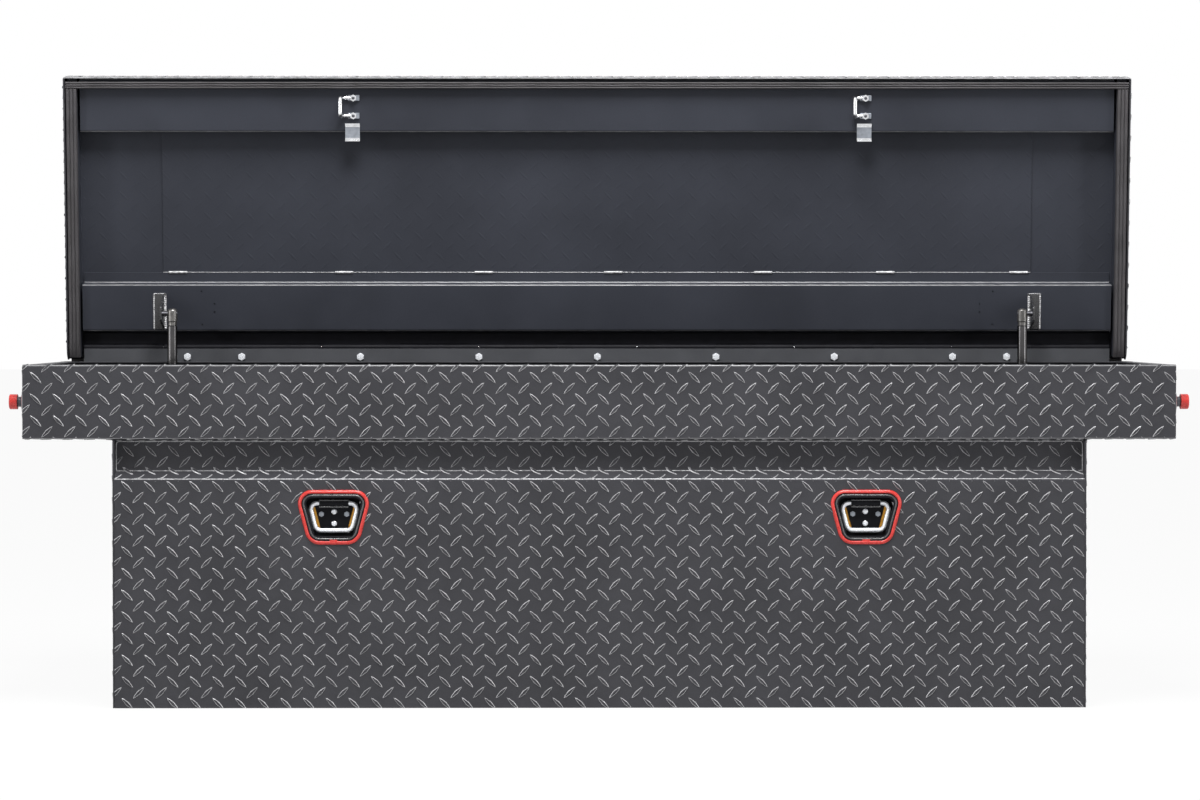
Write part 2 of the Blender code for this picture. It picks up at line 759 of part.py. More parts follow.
def make_lid_side(name, side, panel, rubber, lid):
    """A side channel and the seal that it carries."""
    outer = LID_LENGTH / 2 - LID_BEND_ROOM
    inner = outer - SEAL_WIDTH
    seat = -LID_SKIN_DROP - FIT_GAP
    face = -LID_CHANNEL_FACE_DROP
    points = [(inner, seat), (inner, face), (outer, face), (outer, seat)]
    section = rounded_path(points, LID_CHANNEL_SHEET, BEND_STEPS)
    section += offset_path(section, LID_CHANNEL_SHEET)[::-1]
    outline = [(side * point.x, point.y) for point in section]
    rear = LID_REAR_OVERHANG - LID_BEND_ROOM
    front = -front_channel_far()
    channel = add_prism(bmesh.new(), outline, "Y", front, rear)
    make(f"lid_{name}_channel", channel, panel, parent=lid)
    crown = LID_RIM_DROP + SEAL_PROUD
    swing_end = math.asin(rear / crown)
    outline = [(rear, -SEAL_TOP_DROP), (front, -SEAL_TOP_DROP), (front, -crown)]
    for angle in (0, swing_end / 2, swing_end):
        outline.append((crown * math.sin(angle), -crown * math.cos(angle)))
    seal = add_prism(bmesh.new(), outline, "X", side * inner, side * outer)
    make(f"lid_{name}_seal", seal, rubber, parent=lid)


def make_front_seal(rubber, lid):
    half = LID_CHANNEL_LENGTH / 2
    front = -front_channel_far() + BEND_RADIUS
    low = (-half, front, -LID_RIM_DROP - SEAL_PROUD)
    high = (half, front + FRONT_SEAL_WIDTH, -SEAL_TOP_DROP)
    make("lid_front_seal", add_block(bmesh.new(), low, high), rubber, parent=lid)


def make_striker(name, side, zinc, lid):
    """A bent wire staple on the front channel, with a nut on each foot."""
    x = side * STRIKER_X
    foot = -LID_CHANNEL_FACE_DROP - FIT_GAP - STRIKER_WIRE_RADIUS
    near = -STRIKER_REACH + STRIKER_LEG_SPACING / 2
    far = -STRIKER_REACH - STRIKER_LEG_SPACING / 2
    points = [
        (x + STRIKER_FOOT_LENGTH, near, foot),
        (x, near, foot),
        (x, near, -STRIKER_BAR_DROP),
        (x, far, -STRIKER_BAR_DROP),
        (x, far, foot),
        (x + STRIKER_FOOT_LENGTH, far, foot),
    ]
    path = rounded_path(points, STRIKER_BEND, WIRE_ARC_STEPS)
    striker = make(f"{name}_striker", add_wire(bmesh.new(), path, STRIKER_WIRE_RADIUS), zinc, parent=lid)
    nuts = bmesh.new()
    nut_z = -LID_CHANNEL_FACE_DROP - FIT_GAP - STRIKER_NUT_HEIGHT / 2
    for y in (near, far):
        centre = (x + STRIKER_NUT_OFFSET, y, nut_z)
        add_cylinder(nuts, "Z", centre, STRIKER_NUT_ACROSS / 2, STRIKER_NUT_HEIGHT, 6)
    fuse(striker, nuts)


def make_guide_plate(name, side, zinc, lid):
    """A lipped plate that overhangs the front channel's inner edge."""
    middle = side * STRIKER_X + STRIKER_NUT_OFFSET
    seat = LID_CHANNEL_FACE_DROP + FIT_GAP
    near = front_channel_near() - GUIDE_LENGTH / 2
    far = near + GUIDE_LENGTH
    points = lid_points(
        [(near, seat + GUIDE_LIP), (near, seat), (far, seat), (far, seat + GUIDE_LIP)]
    )
    path = rounded_path(points, LID_CHANNEL_SHEET, BEND_STEPS)
    outline = path + offset_path(path, LID_CHANNEL_SHEET)[::-1]
    plate = add_prism(bmesh.new(), outline, "X", middle - GUIDE_WIDTH / 2, middle + GUIDE_WIDTH / 2)
    make(f"{name}_guide_plate", plate, zinc, parent=lid)


def make_lid_bracket(name, side, panel, lid):
    """The bracket on the rear channel with the stud that the strut hangs on."""
    face = -LID_CHANNEL_FACE_DROP - FIT_GAP
    near = -STUD_REACH + LID_BRACKET_LENGTH / 2
    far = -STUD_REACH - LID_BRACKET_LENGTH / 2
    ear = STRUT_X + LID_BRACKET_EAR_OFFSET
    across = sorted((side * ear, side * (ear + LID_BRACKET_BASE)))
    base = add_block(bmesh.new(), (across[0], far, face - BRACKET_SHEET), (across[1], near, face))
    bracket = make(f"{name}_lid_bracket", base, panel, parent=lid)
    tip = -STUD_DROP - STRUT_SOCKET_RADIUS
    ear_outline = [
        (near, face),
        (far, face),
        (-STUD_REACH - LID_BRACKET_EAR_TOP / 2, tip),
        (-STUD_REACH + LID_BRACKET_EAR_TOP / 2, tip),
    ]
    ear_outline = rounded_path(ear_outline, BEND_RADIUS, BEND_STEPS, closed=True)
    ear_span = sorted((side * ear, side * (ear + BRACKET_SHEET)))
    fuse(bracket, add_prism(bmesh.new(), ear_outline, "X", *ear_span))
    stud_start = STRUT_X - STRUT_SOCKET_WIDTH / 2
    stud_end = ear + JOIN_OVERLAP
    centre = (side * (stud_start + stud_end) / 2, -STUD_REACH, -STUD_DROP)
    fuse(bracket, add_cylinder(bmesh.new(), "X", centre, STUD_RADIUS, stud_end - stud_start))


# Gas struts

def strut_top():
    """The lid stud at rest, as (y, z) with the lid open."""
    turn = Matrix.Rotation(-LID_OPEN_ANGLE, 2)
    offset = turn @ Vector((-STUD_REACH, -STUD_DROP))
    return Vector((HINGE_Y, HINGE_Z)) + offset


def make_strut(name, side, black, zinc):
    """A socket on the lid stud, the tube under it and the rod that slides in the tube."""
    top = strut_top()
    y = top.x
    foot_z = top.y - STRUT_LENGTH
    x = side * STRUT_X
    foot = (x, y, foot_z)
    eye_bore = hole_radius(STUD_RADIUS, TURN_GAP)
    half_eye = STRUT_EYE_WIDTH / 2
    eye_profile = [
        (eye_bore, -half_eye),
        (STRUT_EYE_RADIUS, -half_eye),
        (STRUT_EYE_RADIUS, half_eye),
        (eye_bore, half_eye),
    ]
    rod = make(
        f"{name}_strut_rod", add_turned(bmesh.new(), eye_profile, "X", foot), zinc, origin=foot
    )
    tube_top = top.y - STRUT_SOCKET_NECK - FIT_GAP
    rod_top = tube_top - STRUT_STROKE_ROOM
    rod_bottom = foot_z + (eye_bore + STRUT_EYE_RADIUS) / 2
    centre = (x, y, (rod_top + rod_bottom) / 2)
    fuse(rod, add_cylinder(bmesh.new(), "Z", centre, STRUT_ROD_RADIUS, rod_top - rod_bottom))
    tube_bore = hole_radius(STRUT_ROD_RADIUS, TURN_GAP)
    tube_profile = [
        (tube_bore, 0),
        (tube_bore, -STRUT_TUBE_LENGTH),
        (STRUT_TUBE_RADIUS, -STRUT_TUBE_LENGTH),
        (STRUT_TUBE_RADIUS, 0),
    ]
    tube_place = (x, y, tube_top)
    tube = add_turned(bmesh.new(), tube_profile, "Z", tube_place)
    make(f"{name}_strut_cylinder", tube, black, origin=tube_place)
    pivot = (x, y, top.y)
    half_socket = STRUT_SOCKET_WIDTH / 2
    socket_profile = [
        (eye_bore, -half_socket),
        (STRUT_SOCKET_RADIUS, -half_socket),
        (STRUT_SOCKET_RADIUS, half_socket),
        (eye_bore, half_socket),
    ]
    socket = make(
        f"{name}_strut_socket",
        add_turned(bmesh.new(), socket_profile, "X", pivot),
        black,
        origin=pivot,
    )
    neck_start = (eye_bore + STRUT_SOCKET_RADIUS) / 2
    neck_centre = (x, y, top.y - (neck_start + STRUT_SOCKET_NECK) / 2)
    neck_radius = (STRUT_TUBE_RADIUS + STRUT_ROD_RADIUS) / 2
    neck_length = STRUT_SOCKET_NECK - neck_start
    fuse(socket, add_cylinder(bmesh.new(), "Z", neck_centre, neck_radius, neck_length))


def make_strut_foot(name, side, panel):
    """The bracket on the end panel's lower wall with the stud beside the strut rod's eye."""
    top = strut_top()
    y = top.x
    z = top.y - STRUT_LENGTH
    wall = LOWER_INSIDE - FIT_GAP
    ear = STRUT_X + FOOT_EAR_OFFSET
    shelf = z - FOOT_SHELF_DROP
    points = [
        (wall, shelf - FOOT_WALL_FLANGE),
        (wall, shelf),
        (ear, shelf),
        (ear, z + FOOT_EAR_HEIGHT),
    ]
    path = rounded_path(points, BEND_RADIUS, BEND_STEPS)
    section = path + offset_path(path, BRACKET_SHEET)[::-1]
    outline = [(side * point.x, point.y) for point in section]
    foot = make(
        f"{name}_strut_foot",
        add_prism(bmesh.new(), outline, "Y", y - FOOT_WIDTH / 2, y + FOOT_WIDTH / 2),
        panel,
    )
    start = STRUT_X + STRUT_EYE_WIDTH / 2 + STUD_END_GAP
    end = ear - BRACKET_SHEET + JOIN_OVERLAP
    centre = (side * (start + end) / 2, y, z)
    fuse(foot, add_cylinder(bmesh.new(), "X", centre, STUD_RADIUS, end - start))


# Locks

def lock_place(side):
    return (side * HALF_LENGTH, LOCK_Y, LOCK_Z)


def outward(side, profile):
    """A turned profile whose along values point out of the box end."""
    return [(radius, side * along) for radius, along in profile]


def make_lock(name, side, chrome, red, steel, brass):
    """The bezel and nut on the end wall, the button, its stem and rod, and the key plug."""
    place = lock_place(side)
    stem_bore = hole_radius(STEM_RADIUS, TURN_GAP)
    neck_bore = hole_radius(BUTTON_NECK_RADIUS, TURN_GAP)
    neck_floor = LOCK_BEZEL_RISE - BUTTON_NECK_INSIDE - LOCK_TRAVEL - TURN_GAP
    dome = [(LOCK_BEZEL_RADIUS, LOCK_BEZEL_EDGE)]
    crown = (LOCK_BEZEL_RADIUS + neck_bore) / 2
    dome.append((crown, (LOCK_BEZEL_EDGE + 2 * LOCK_BEZEL_RISE) / 3))
    dome.append((neck_bore + LOCK_BEZEL_EDGE, LOCK_BEZEL_RISE))
    bezel = [
        (stem_bore, -LOCK_BARREL_LENGTH),
        (LOCK_BARREL_RADIUS, -LOCK_BARREL_LENGTH),
        (LOCK_BARREL_RADIUS, FIT_GAP),
        (LOCK_BEZEL_RADIUS, FIT_GAP),
        *dome,
        (neck_bore, LOCK_BEZEL_RISE),
        (neck_bore, neck_floor),
        (stem_bore, neck_floor),
    ]
    make(f"{name}_lock_bezel", add_turned(bmesh.new(), outward(side, bezel), "X", place), chrome)

    nut_x = side * (HALF_LENGTH - SHEET - FIT_GAP - LOCK_NUT_HEIGHT / 2)
    nut_centre = (nut_x, LOCK_Y, LOCK_Z)
    nut = make(
        f"{name}_lock_nut",
        add_cylinder(bmesh.new(), "X", nut_centre, LOCK_NUT_RADIUS, LOCK_NUT_HEIGHT, 6),
        steel,
    )
    bore = hole_radius(LOCK_BARREL_RADIUS, FIT_GAP)
    cut(nut, add_cylinder(bmesh.new(), "X", nut_centre, bore, LOCK_NUT_HEIGHT + 2 * CUT_MARGIN))

    back = BUTTON_BACK + FIT_GAP
    front = back + BUTTON_LENGTH
    plug_bore = hole_radius(KEY_PLUG_RADIUS, TURN_GAP)
    button = [
        (0, back),
        (BUTTON_RADIUS, back),
        (BUTTON_RADIUS, front - BUTTON_ROUND),
        (BUTTON_RADIUS - BUTTON_ROUND, front),
        (plug_bore, front),
        (plug_bore, front - KEY_PLUG_DEPTH),
        (0, front - KEY_PLUG_DEPTH),
    ]
    make(
        f"{name}_push_button",
        add_turned(bmesh.new(), outward(side, button), "X", place),
        red,
        origin=place,
    )

    plug_length = KEY_PLUG_DEPTH - FIT_GAP
    plug_centre = (side * (HALF_LENGTH + front - plug_length / 2), LOCK_Y, LOCK_Z)
    plug = make(
        f"{name}_key_plug",
        add_cylinder(bmesh.new(), "X", plug_centre, KEY_PLUG_RADIUS, plug_length),
        brass,
        origin=plug_centre,
    )
    slot_floor = HALF_LENGTH + front - plug_length / 2
    across = sorted((side * slot_floor, side * (HALF_LENGTH + front + CUT_MARGIN)))
    low = (across[0], LOCK_Y - KEY_SLOT / 2, LOCK_Z - KEY_SLOT_LENGTH / 2)
    high = (across[1], LOCK_Y + KEY_SLOT / 2, LOCK_Z + KEY_SLOT_LENGTH / 2)
    cut(plug, add_block(bmesh.new(), low, high))

    neck_back = LOCK_BEZEL_RISE - BUTTON_NECK_INSIDE
    stem = [
        (0, -STEM_LENGTH),
        (STEM_RADIUS, -STEM_LENGTH),
        (STEM_RADIUS, neck_back),
        (BUTTON_NECK_RADIUS, neck_back),
        (BUTTON_NECK_RADIUS, BUTTON_BACK),
        (0, BUTTON_BACK),
    ]
    release = make(
        f"{name}_release_rod",
        add_turned(bmesh.new(), outward(side, stem), "X", place),
        steel,
        origin=place,
    )
    end = STRIKER_X + PAWL_PIVOT_OUT + PAWL_PAD_OUT + FIT_GAP
    path = [
        (side * (HALF_LENGTH - STEM_LENGTH + STEM_RADIUS), LOCK_Y, LOCK_Z),
        (side * (STRIKER_X + ROD_JOGGLE_START + ROD_JOGGLE_LENGTH), LOCK_Y, LOCK_Z),
        (side * (STRIKER_X + ROD_JOGGLE_START), pawl_y(), LOCK_Z),
        (side * end, pawl_y(), LOCK_Z),
    ]
    path = rounded_path(path, 4 * RELEASE_ROD_RADIUS, WIRE_ARC_STEPS)
    fuse(release, add_wire(bmesh.new(), path, RELEASE_ROD_RADIUS))


# Latches

def pawl_y():
    return STRIKER_Y + CLAW_THICKNESS / 2 + FIT_GAP + PAWL_THICKNESS / 2


def claw_pivot(side):
    return Vector((side * (STRIKER_X + CLAW_PIVOT_OUT), STRIKER_Y, STRIKER_Z - CLAW_PIVOT_DROP))


def pawl_pivot(side):
    return Vector((side * (STRIKER_X + PAWL_PIVOT_OUT), pawl_y(), STRIKER_Z - PAWL_PIVOT_DROP))


def make_latch_housing(name, side, zinc):
    """A folded plate welded behind the rail face, with the pins for the claw and the pawl."""
    wall = WALL_INSIDE_Y + FIT_GAP
    plate = STRIKER_Y - CLAW_THICKNESS / 2 - FIT_GAP
    shelf = STRIKER_Z - HOUSING_SHELF_DROP
    points = [
        (wall, shelf + HOUSING_WALL_FLANGE),
        (wall, shelf),
        (plate, shelf),
        (plate, STRIKER_Z + HOUSING_RISE),
    ]
    across = sorted((side * (STRIKER_X - HOUSING_INNER), side * (STRIKER_X + HOUSING_OUTER)))
    housing = make(
        f"{name}_latch_housing",
        add_prism(bmesh.new(), sheet_outline(points, SHEET), "X", *across),
        zinc,
    )
    notch_low = (
        side * STRIKER_X - HOUSING_NOTCH_HALF,
        plate - SHEET - CUT_MARGIN,
        STRIKER_Z - HOUSING_NOTCH_DEPTH,
    )
    notch_high = (
        side * STRIKER_X + HOUSING_NOTCH_HALF,
        plate + CUT_MARGIN,
        STRIKER_Z + HOUSING_RISE + CUT_MARGIN,
    )
    cut(housing, add_block(bmesh.new(), notch_low, notch_high))
    start = plate - JOIN_OVERLAP
    pins = bmesh.new()
    claw_end = STRIKER_Y + CLAW_THICKNESS / 2
    pawl_end = claw_end + FIT_GAP + PAWL_THICKNESS
    for pivot, end, radius in (
        (claw_pivot(side), claw_end, LATCH_PIN_RADIUS),
        (pawl_pivot(side), pawl_end, LATCH_PIN_RADIUS),
    ):
        add_cylinder(pins, "Y", (pivot.x, (start + end) / 2, pivot.z), radius, end - start)
    fuse(housing, pins)
    pivot = pawl_pivot(side)
    collar_centre = (pivot.x, (start + claw_end) / 2, pivot.z)
    collar_radius = LATCH_PIN_RADIUS + SHEET
    fuse(housing, add_cylinder(bmesh.new(), "Y", collar_centre, collar_radius, claw_end - start))


def cut_pivot(piece, pivot, thickness):
    bore = hole_radius(LATCH_PIN_RADIUS, TURN_GAP)
    cut(piece, add_cylinder(bmesh.new(), "Y", pivot, bore, thickness + 2 * CUT_MARGIN))


def make_claw(name, side, steel):
    """A hook that stands open at rest and swings over the striker bar."""
    bar_rise = CLAW_PIVOT_DROP + STRIKER_WIRE_RADIUS + CLAW_BAR_GAP
    tip = -CLAW_BEAK_LENGTH
    hook = [
        (CLAW_ARM_HALF, -CLAW_BOSS_RADIUS),
        (CLAW_ARM_HALF, bar_rise + CLAW_BEAK_HEIGHT),
        (tip, bar_rise + CLAW_BEAK_HEIGHT),
        (tip, bar_rise),
        (-CLAW_ARM_HALF, bar_rise),
        (-CLAW_ARM_HALF, -CLAW_BOSS_RADIUS),
    ]
    hook = rounded_path(hook, SHEET, BEND_STEPS, closed=True)
    open_turn = Matrix.Rotation(-CLAW_OPEN_ANGLE, 2)
    pivot = claw_pivot(side)
    turned = [open_turn @ point for point in hook]
    outline = [(pivot.x + side * point.x, pivot.z + point.y) for point in turned]
    start = STRIKER_Y - CLAW_THICKNESS / 2
    claw = make(
        f"{name}_latch_claw",
        add_prism(bmesh.new(), outline, "Y", start, start + CLAW_THICKNESS),
        steel,
        origin=pivot,
    )
    cut_pivot(claw, pivot, CLAW_THICKNESS)


def make_pawl(name, side, steel):
    """A lever whose lower arm takes the push of the release rod."""
    lever = [
        (-PAWL_ARM_BACK, -PAWL_TAIL),
        (PAWL_PAD_OUT, -PAWL_TAIL),
        (PAWL_PAD_OUT, PAWL_CROWN),
        (-PAWL_ARM_BACK, PAWL_CROWN),
        (-PAWL_NOSE, PAWL_NOSE_RISE),
        (-PAWL_NOSE, PAWL_NOSE_RISE - PAWL_NOSE_HEIGHT),
        (-PAWL_ARM_BACK, 0),
    ]
    pivot = pawl_pivot(side)
    outline = [(pivot.x + side * across, pivot.z + up) for across, up in lever]
    half = PAWL_THICKNESS / 2
    pawl = make(
        f"{name}_latch_pawl",
        add_prism(bmesh.new(), outline, "Y", pivot.y - half, pivot.y + half),
        steel,
        origin=pivot,
    )
    cut_pivot(pawl, pivot, PAWL_THICKNESS)


# Tie-downs

def make_tie_down(name, side, red, black, gold, zinc, steel):
    """Bezel, tray, backing plate, base plate with bolts, pivot sleeve and ring."""
    x = side * TIE_X
    face = FRONT_Y - FIT_GAP

    def placed(inset):
        return shifted(tie_down_outline(inset), x, TIE_Z)

    bezel = make(
        f"{name}_tie_bezel",
        add_prism(bmesh.new(), placed(0), "Y", face - BEZEL_THICKNESS, face),
        red,
    )
    opening = (face - BEZEL_THICKNESS - CUT_MARGIN, face + CUT_MARGIN)
    cut(bezel, add_prism(bmesh.new(), placed(BEZEL_BAND), "Y", *opening))

    cup_inset = BEZEL_BAND + TRAY_LIP + CUTOUT_GAP
    lip = placed(BEZEL_BAND + FIT_GAP)
    tray = make(
        f"{name}_tie_tray",
        add_prism(bmesh.new(), lip, "Y", face - TRAY_LIP_THICKNESS, face),
        black,
    )
    cup_start = face - TRAY_LIP_THICKNESS / 2
    fuse(tray, add_prism(bmesh.new(), placed(cup_inset), "Y", cup_start, FRONT_Y + TRAY_DEPTH))
    hollow = placed(cup_inset + TRAY_WALL)
    cut(tray, add_prism(bmesh.new(), hollow, "Y", face - CUT_MARGIN, TRAY_FLOOR_Y))

    def plate(width, height, low, thickness):
        half = width / 2
        top = TIE_Z + height / 2
        taper = height * math.tan(BEZEL_SIDE_SLOPE)
        corners = [
            (x - half + taper, top - height),
            (x + half - taper, top - height),
            (x + half, top),
            (x - half, top),
        ]
        outline = rounded_path(corners, BEND_RADIUS, BEND_STEPS, closed=True)
        return add_prism(bmesh.new(), outline, "Y", low, low + thickness)

    make(
        f"{name}_tie_backing",
        plate(BACKING_WIDTH, BACKING_HEIGHT, BACKING_Y, BACKING_THICKNESS),
        gold,
    )
    base = make(
        f"{name}_tie_plate",
        plate(TIE_PLATE_WIDTH, TIE_PLATE_HEIGHT, TIE_PLATE_Y, TIE_PLATE_THICKNESS),
        black,
    )
    bolts = bmesh.new()
    for across, up in (
        (0, TIE_BOLT_UPPER),
        (0, -TIE_BOLT_LOWER),
        (TIE_BOLT_OUT, TIE_BOLT_SIDE),
        (-TIE_BOLT_OUT, TIE_BOLT_SIDE),
    ):
        centre = (x + across, TIE_PLATE_Y - TIE_BOLT_HEAD / 2 + JOIN_OVERLAP / 2, TIE_Z + up)
        add_cylinder(bolts, "Y", centre, TIE_BOLT_RADIUS, TIE_BOLT_HEAD + JOIN_OVERLAP, 12)
    fuse(base, bolts)

    axis = (x, RING_Y, RING_AXIS_Z)
    bore = hole_radius(RING_WIRE_RADIUS, TURN_GAP)
    half = SLEEVE_LENGTH / 2
    sleeve = [(bore, -half), (SLEEVE_RADIUS, -half), (SLEEVE_RADIUS, half), (bore, half)]
    make(f"{name}_tie_sleeve", add_turned(bmesh.new(), sleeve, "X", axis), steel)

    bottom = RING_AXIS_Z - RING_HEIGHT + 2 * RING_WIRE_RADIUS
    slope = math.atan((RING_TOP_WIDTH - RING_BOTTOM_WIDTH) / 2 / (RING_AXIS_Z - bottom))
    corner_loss = RING_CORNER * (1 / math.tan((math.pi / 2 - slope) / 2) - 1)
    top_half = RING_TOP_WIDTH / 2 - RING_WIRE_RADIUS + corner_loss
    bottom_half = RING_BOTTOM_WIDTH / 2 - RING_WIRE_RADIUS
    corners = [
        (x - top_half, RING_Y, RING_AXIS_Z),
        (x + top_half, RING_Y, RING_AXIS_Z),
        (x + bottom_half, RING_Y, bottom),
        (x - bottom_half, RING_Y, bottom),
    ]
    path = rounded_path(corners, RING_CORNER, WIRE_ARC_STEPS, closed=True)
    ring = add_wire(bmesh.new(), path, RING_WIRE_RADIUS, closed=True)
    make(f"{name}_tie_ring", ring, zinc, origin=axis)


def main():
    for obj in list(bpy.data.objects):
        bpy.data.objects.remove(obj)
    tread = finish("tread_powder_coat", (0.055, 0.055, 0.06), 0.45, 0.0)
    panel = finish("smooth_powder_coat", (0.035, 0.041, 0.052), 0.5, 0.0)
    rubber = finish("seal_rubber", (0.065, 0.06, 0.06), 0.8, 0.0)
    zinc = finish("bright_zinc", (0.62, 0.63, 0.65), 0.25, 1.0)
    steel = finish("dark_steel", (0.09, 0.09, 0.1), 0.4, 0.8)
    chrome = finish("bright_chrome", (0.8, 0.8, 0.82), 0.12, 1.0)
    gold = finish("yellow_zinc", (0.55, 0.33, 0.1), 0.35, 1.0)
    brass = finish("key_brass", (0.6, 0.48, 0.22), 0.3, 1.0)
    red = finish("red_plastic", (0.75, 0.05, 0.035), 0.4, 0.0)
    black = finish("black_plastic", (0.012, 0.012, 0.014), 0.4, 0.0)

    lid = bpy.data.objects.new("lid_hinge_axis", None)
    lid.location = (0, HINGE_Y, HINGE_Z)
    lid.rotation_euler = (-LID_OPEN_ANGLE, 0, 0)
    bpy.context.scene.collection.objects.link(lid)

    make_front_panel(tread)
    make_back_panel(tread)
    make_floor_panel(tread)
    make_hinge_rail(panel)
    make_hinge(zinc, panel, lid)
    make_lid_skin(tread, lid)
    make_lid_channels(panel, lid)
    make_front_seal(rubber, lid)
    for name, side in SIDES:
        make_end_panel(name, side, tread)
        make_lid_side(name, side, panel, rubber, lid)
        make_striker(name, side, zinc, lid)
        make_guide_plate(name, side, zinc, lid)
        make_lid_bracket(name, side, panel, lid)
        make_strut(name, side, black, zinc)
        make_strut_foot(name, side, panel)
        make_lock(name, side, chrome, red, steel, brass)
        make_latch_housing(name, side, zinc)
        make_claw(name, side, steel)
        make_pawl(name, side, steel)
        make_tie_down(name, side, red, black, gold, zinc, steel)


if __name__ == "__main__":
    main()
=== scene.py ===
"""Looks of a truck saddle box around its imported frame: tread plate, seals, fittings and a studio."""

import json
import math

import bmesh
import bpy
from bpy.props import FloatProperty, FloatVectorProperty, PointerProperty
from mathutils import Matrix, Vector

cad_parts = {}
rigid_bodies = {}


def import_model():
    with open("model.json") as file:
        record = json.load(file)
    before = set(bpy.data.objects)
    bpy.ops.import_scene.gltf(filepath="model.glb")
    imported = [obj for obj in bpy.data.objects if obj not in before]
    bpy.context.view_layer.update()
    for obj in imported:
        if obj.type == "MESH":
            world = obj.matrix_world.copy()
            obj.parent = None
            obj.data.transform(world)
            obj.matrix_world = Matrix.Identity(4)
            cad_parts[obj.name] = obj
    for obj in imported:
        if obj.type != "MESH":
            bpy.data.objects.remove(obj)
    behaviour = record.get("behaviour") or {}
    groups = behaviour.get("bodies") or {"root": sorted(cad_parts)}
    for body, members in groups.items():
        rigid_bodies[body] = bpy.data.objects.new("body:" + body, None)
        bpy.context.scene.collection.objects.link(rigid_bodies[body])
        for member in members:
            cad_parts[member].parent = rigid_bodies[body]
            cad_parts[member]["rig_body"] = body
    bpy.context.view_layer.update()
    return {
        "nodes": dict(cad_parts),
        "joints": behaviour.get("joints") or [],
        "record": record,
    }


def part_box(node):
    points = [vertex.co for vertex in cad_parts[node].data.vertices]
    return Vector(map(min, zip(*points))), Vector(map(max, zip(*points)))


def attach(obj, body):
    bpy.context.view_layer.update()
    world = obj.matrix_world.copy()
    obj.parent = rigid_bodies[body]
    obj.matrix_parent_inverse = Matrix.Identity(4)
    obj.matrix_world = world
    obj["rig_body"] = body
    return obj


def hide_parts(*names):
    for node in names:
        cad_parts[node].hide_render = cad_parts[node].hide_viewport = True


bl_info = {
    "name": "Truck Saddle Box",
    "version": (1, 0, 0),
    "blender": (4, 5, 0),
    "location": "3D View > Sidebar > Saddle Box",
    "description": "Builds the looks of a truck saddle box around its packed frame",
    "category": "Object",
}

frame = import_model()
NODES = frame["nodes"]
SLOTS = {part["node"]: part["material_slot"] for part in frame["record"]["subparts"]}
LID_JOINT = next(joint for joint in frame["joints"] if joint["name"] == "lid_hinge")
HINGE = Vector(LID_JOINT["pos_m"])
LID_ANGLE = math.radians(LID_JOINT["range_deg"][1])
LID_OPEN = Matrix.Translation(HINGE) @ Matrix.Rotation(-LID_ANGLE, 4, "X")
SIDES = (("left", -1), ("right", 1))

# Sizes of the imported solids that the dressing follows
FIT_GAP = 0.0003
SHEET = 0.0025
BEND_RADIUS = 0.004
RIM_FLANGE = 0.030
FRONT_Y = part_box("front_panel")[0].y
BACK_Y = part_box("back_panel")[1].y
RIM_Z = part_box("front_panel")[1].z
HALF_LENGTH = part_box("front_panel")[1].x
LOWER_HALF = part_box("floor_panel")[1].x
END_FACE = LOWER_HALF + SHEET + FIT_GAP
WING_Z = RIM_Z - 0.117
RECESS_Y = FRONT_Y + 0.023
RECESS_TOP_Z = WING_Z - 0.003
LEDGE_TOP_Z = RECESS_TOP_Z - 0.047
LEDGE_FOOT_Z = LEDGE_TOP_Z - 0.0135
RECESS_MIDDLE_Z = (RECESS_TOP_Z + LEDGE_TOP_Z) / 2
# Width of the rail foot's lighter line: partly wear, partly a painted highlight
RAIL_FOOT_WEAR_AND_HIGHLIGHT = 0.0016
SEAM_Z = (LEDGE_TOP_Z, RECESS_TOP_Z - 0.0012)
SEAM_CORNER = 0.005
SEAM_PLACE = (LOWER_HALF - 0.0008, RECESS_Y - 0.0014)

# Tread bars: where the pattern starts, how it leans, and the room left at bends and bezels
BAR_PHASE = (-0.2803, RIM_FLANGE + 0.0200)
BAR_LEAN = math.radians(45)
BAR_SLIMMING = 0.78
BEND_ROOM = 0.0025
BEZEL_ROOM = (0.006, 0.003)

# The shut lid about the hinge axis: forward is -Y
LID_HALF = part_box("lid_skin")[1].x
LID_TOP = 0.022
LID_CEILING = 0.0195
LID_RIM = -0.023
LID_FRONT = -0.459
LID_REAR = 0.020
LID_FLANGE_FRONT = -0.0245
DOUBLER_FACE = 0.0172
DOUBLER_HALF = 0.737
DOUBLER_REACH = (0.1263, 0.3644)
CHANNEL_FACE = -0.011
CHANNEL_HALF = 0.871
CHANNEL_HOLES = ((0.670, 0.096), (0.648, 0.0747), (0.648, 0.061), (0.6695, 0.040))
STITCH_WELDS = (-0.712, -0.430, -0.193, 0.027, 0.282, 0.490, 0.717)

# Seals on the shut lid, and the pads on the rim
SEAL_BASE = -0.0113
SEAL_CROWN = -0.0236
SIDE_SEAL_X = (0.8752, 0.8932)
SIDE_SEAL_Y = (-0.4377, 0.0157)
FRONT_SEAL_Y = (-0.4495, -0.4380)
SEAL_WANDER = 0.09
SEAL_STEP = 0.015
RIBS = 3
RIB_STEPS = 8
RIB_FULLNESS = 0.6
PAD_X = (0.8735, 0.8945)
PAD_Y = (0.2245, 0.2365)
PAD_HEIGHT = 0.0046

# Hinge
KNUCKLES = 13
KNUCKLE_RADIUS = 0.0049
KNUCKLE_BORE = 0.0029
LEAF = 0.002
LEAF_SKIRT = 0.010
STRIP_RISE = 0.0028
HINGE_BOLTS = (0, 0.201, 0.402, 0.603, 0.695)
HINGE_BOLT_Z = RIM_Z + 0.0078
HINGE_BOLT_SIZES = (0.0135, 0.004, 0.0011)

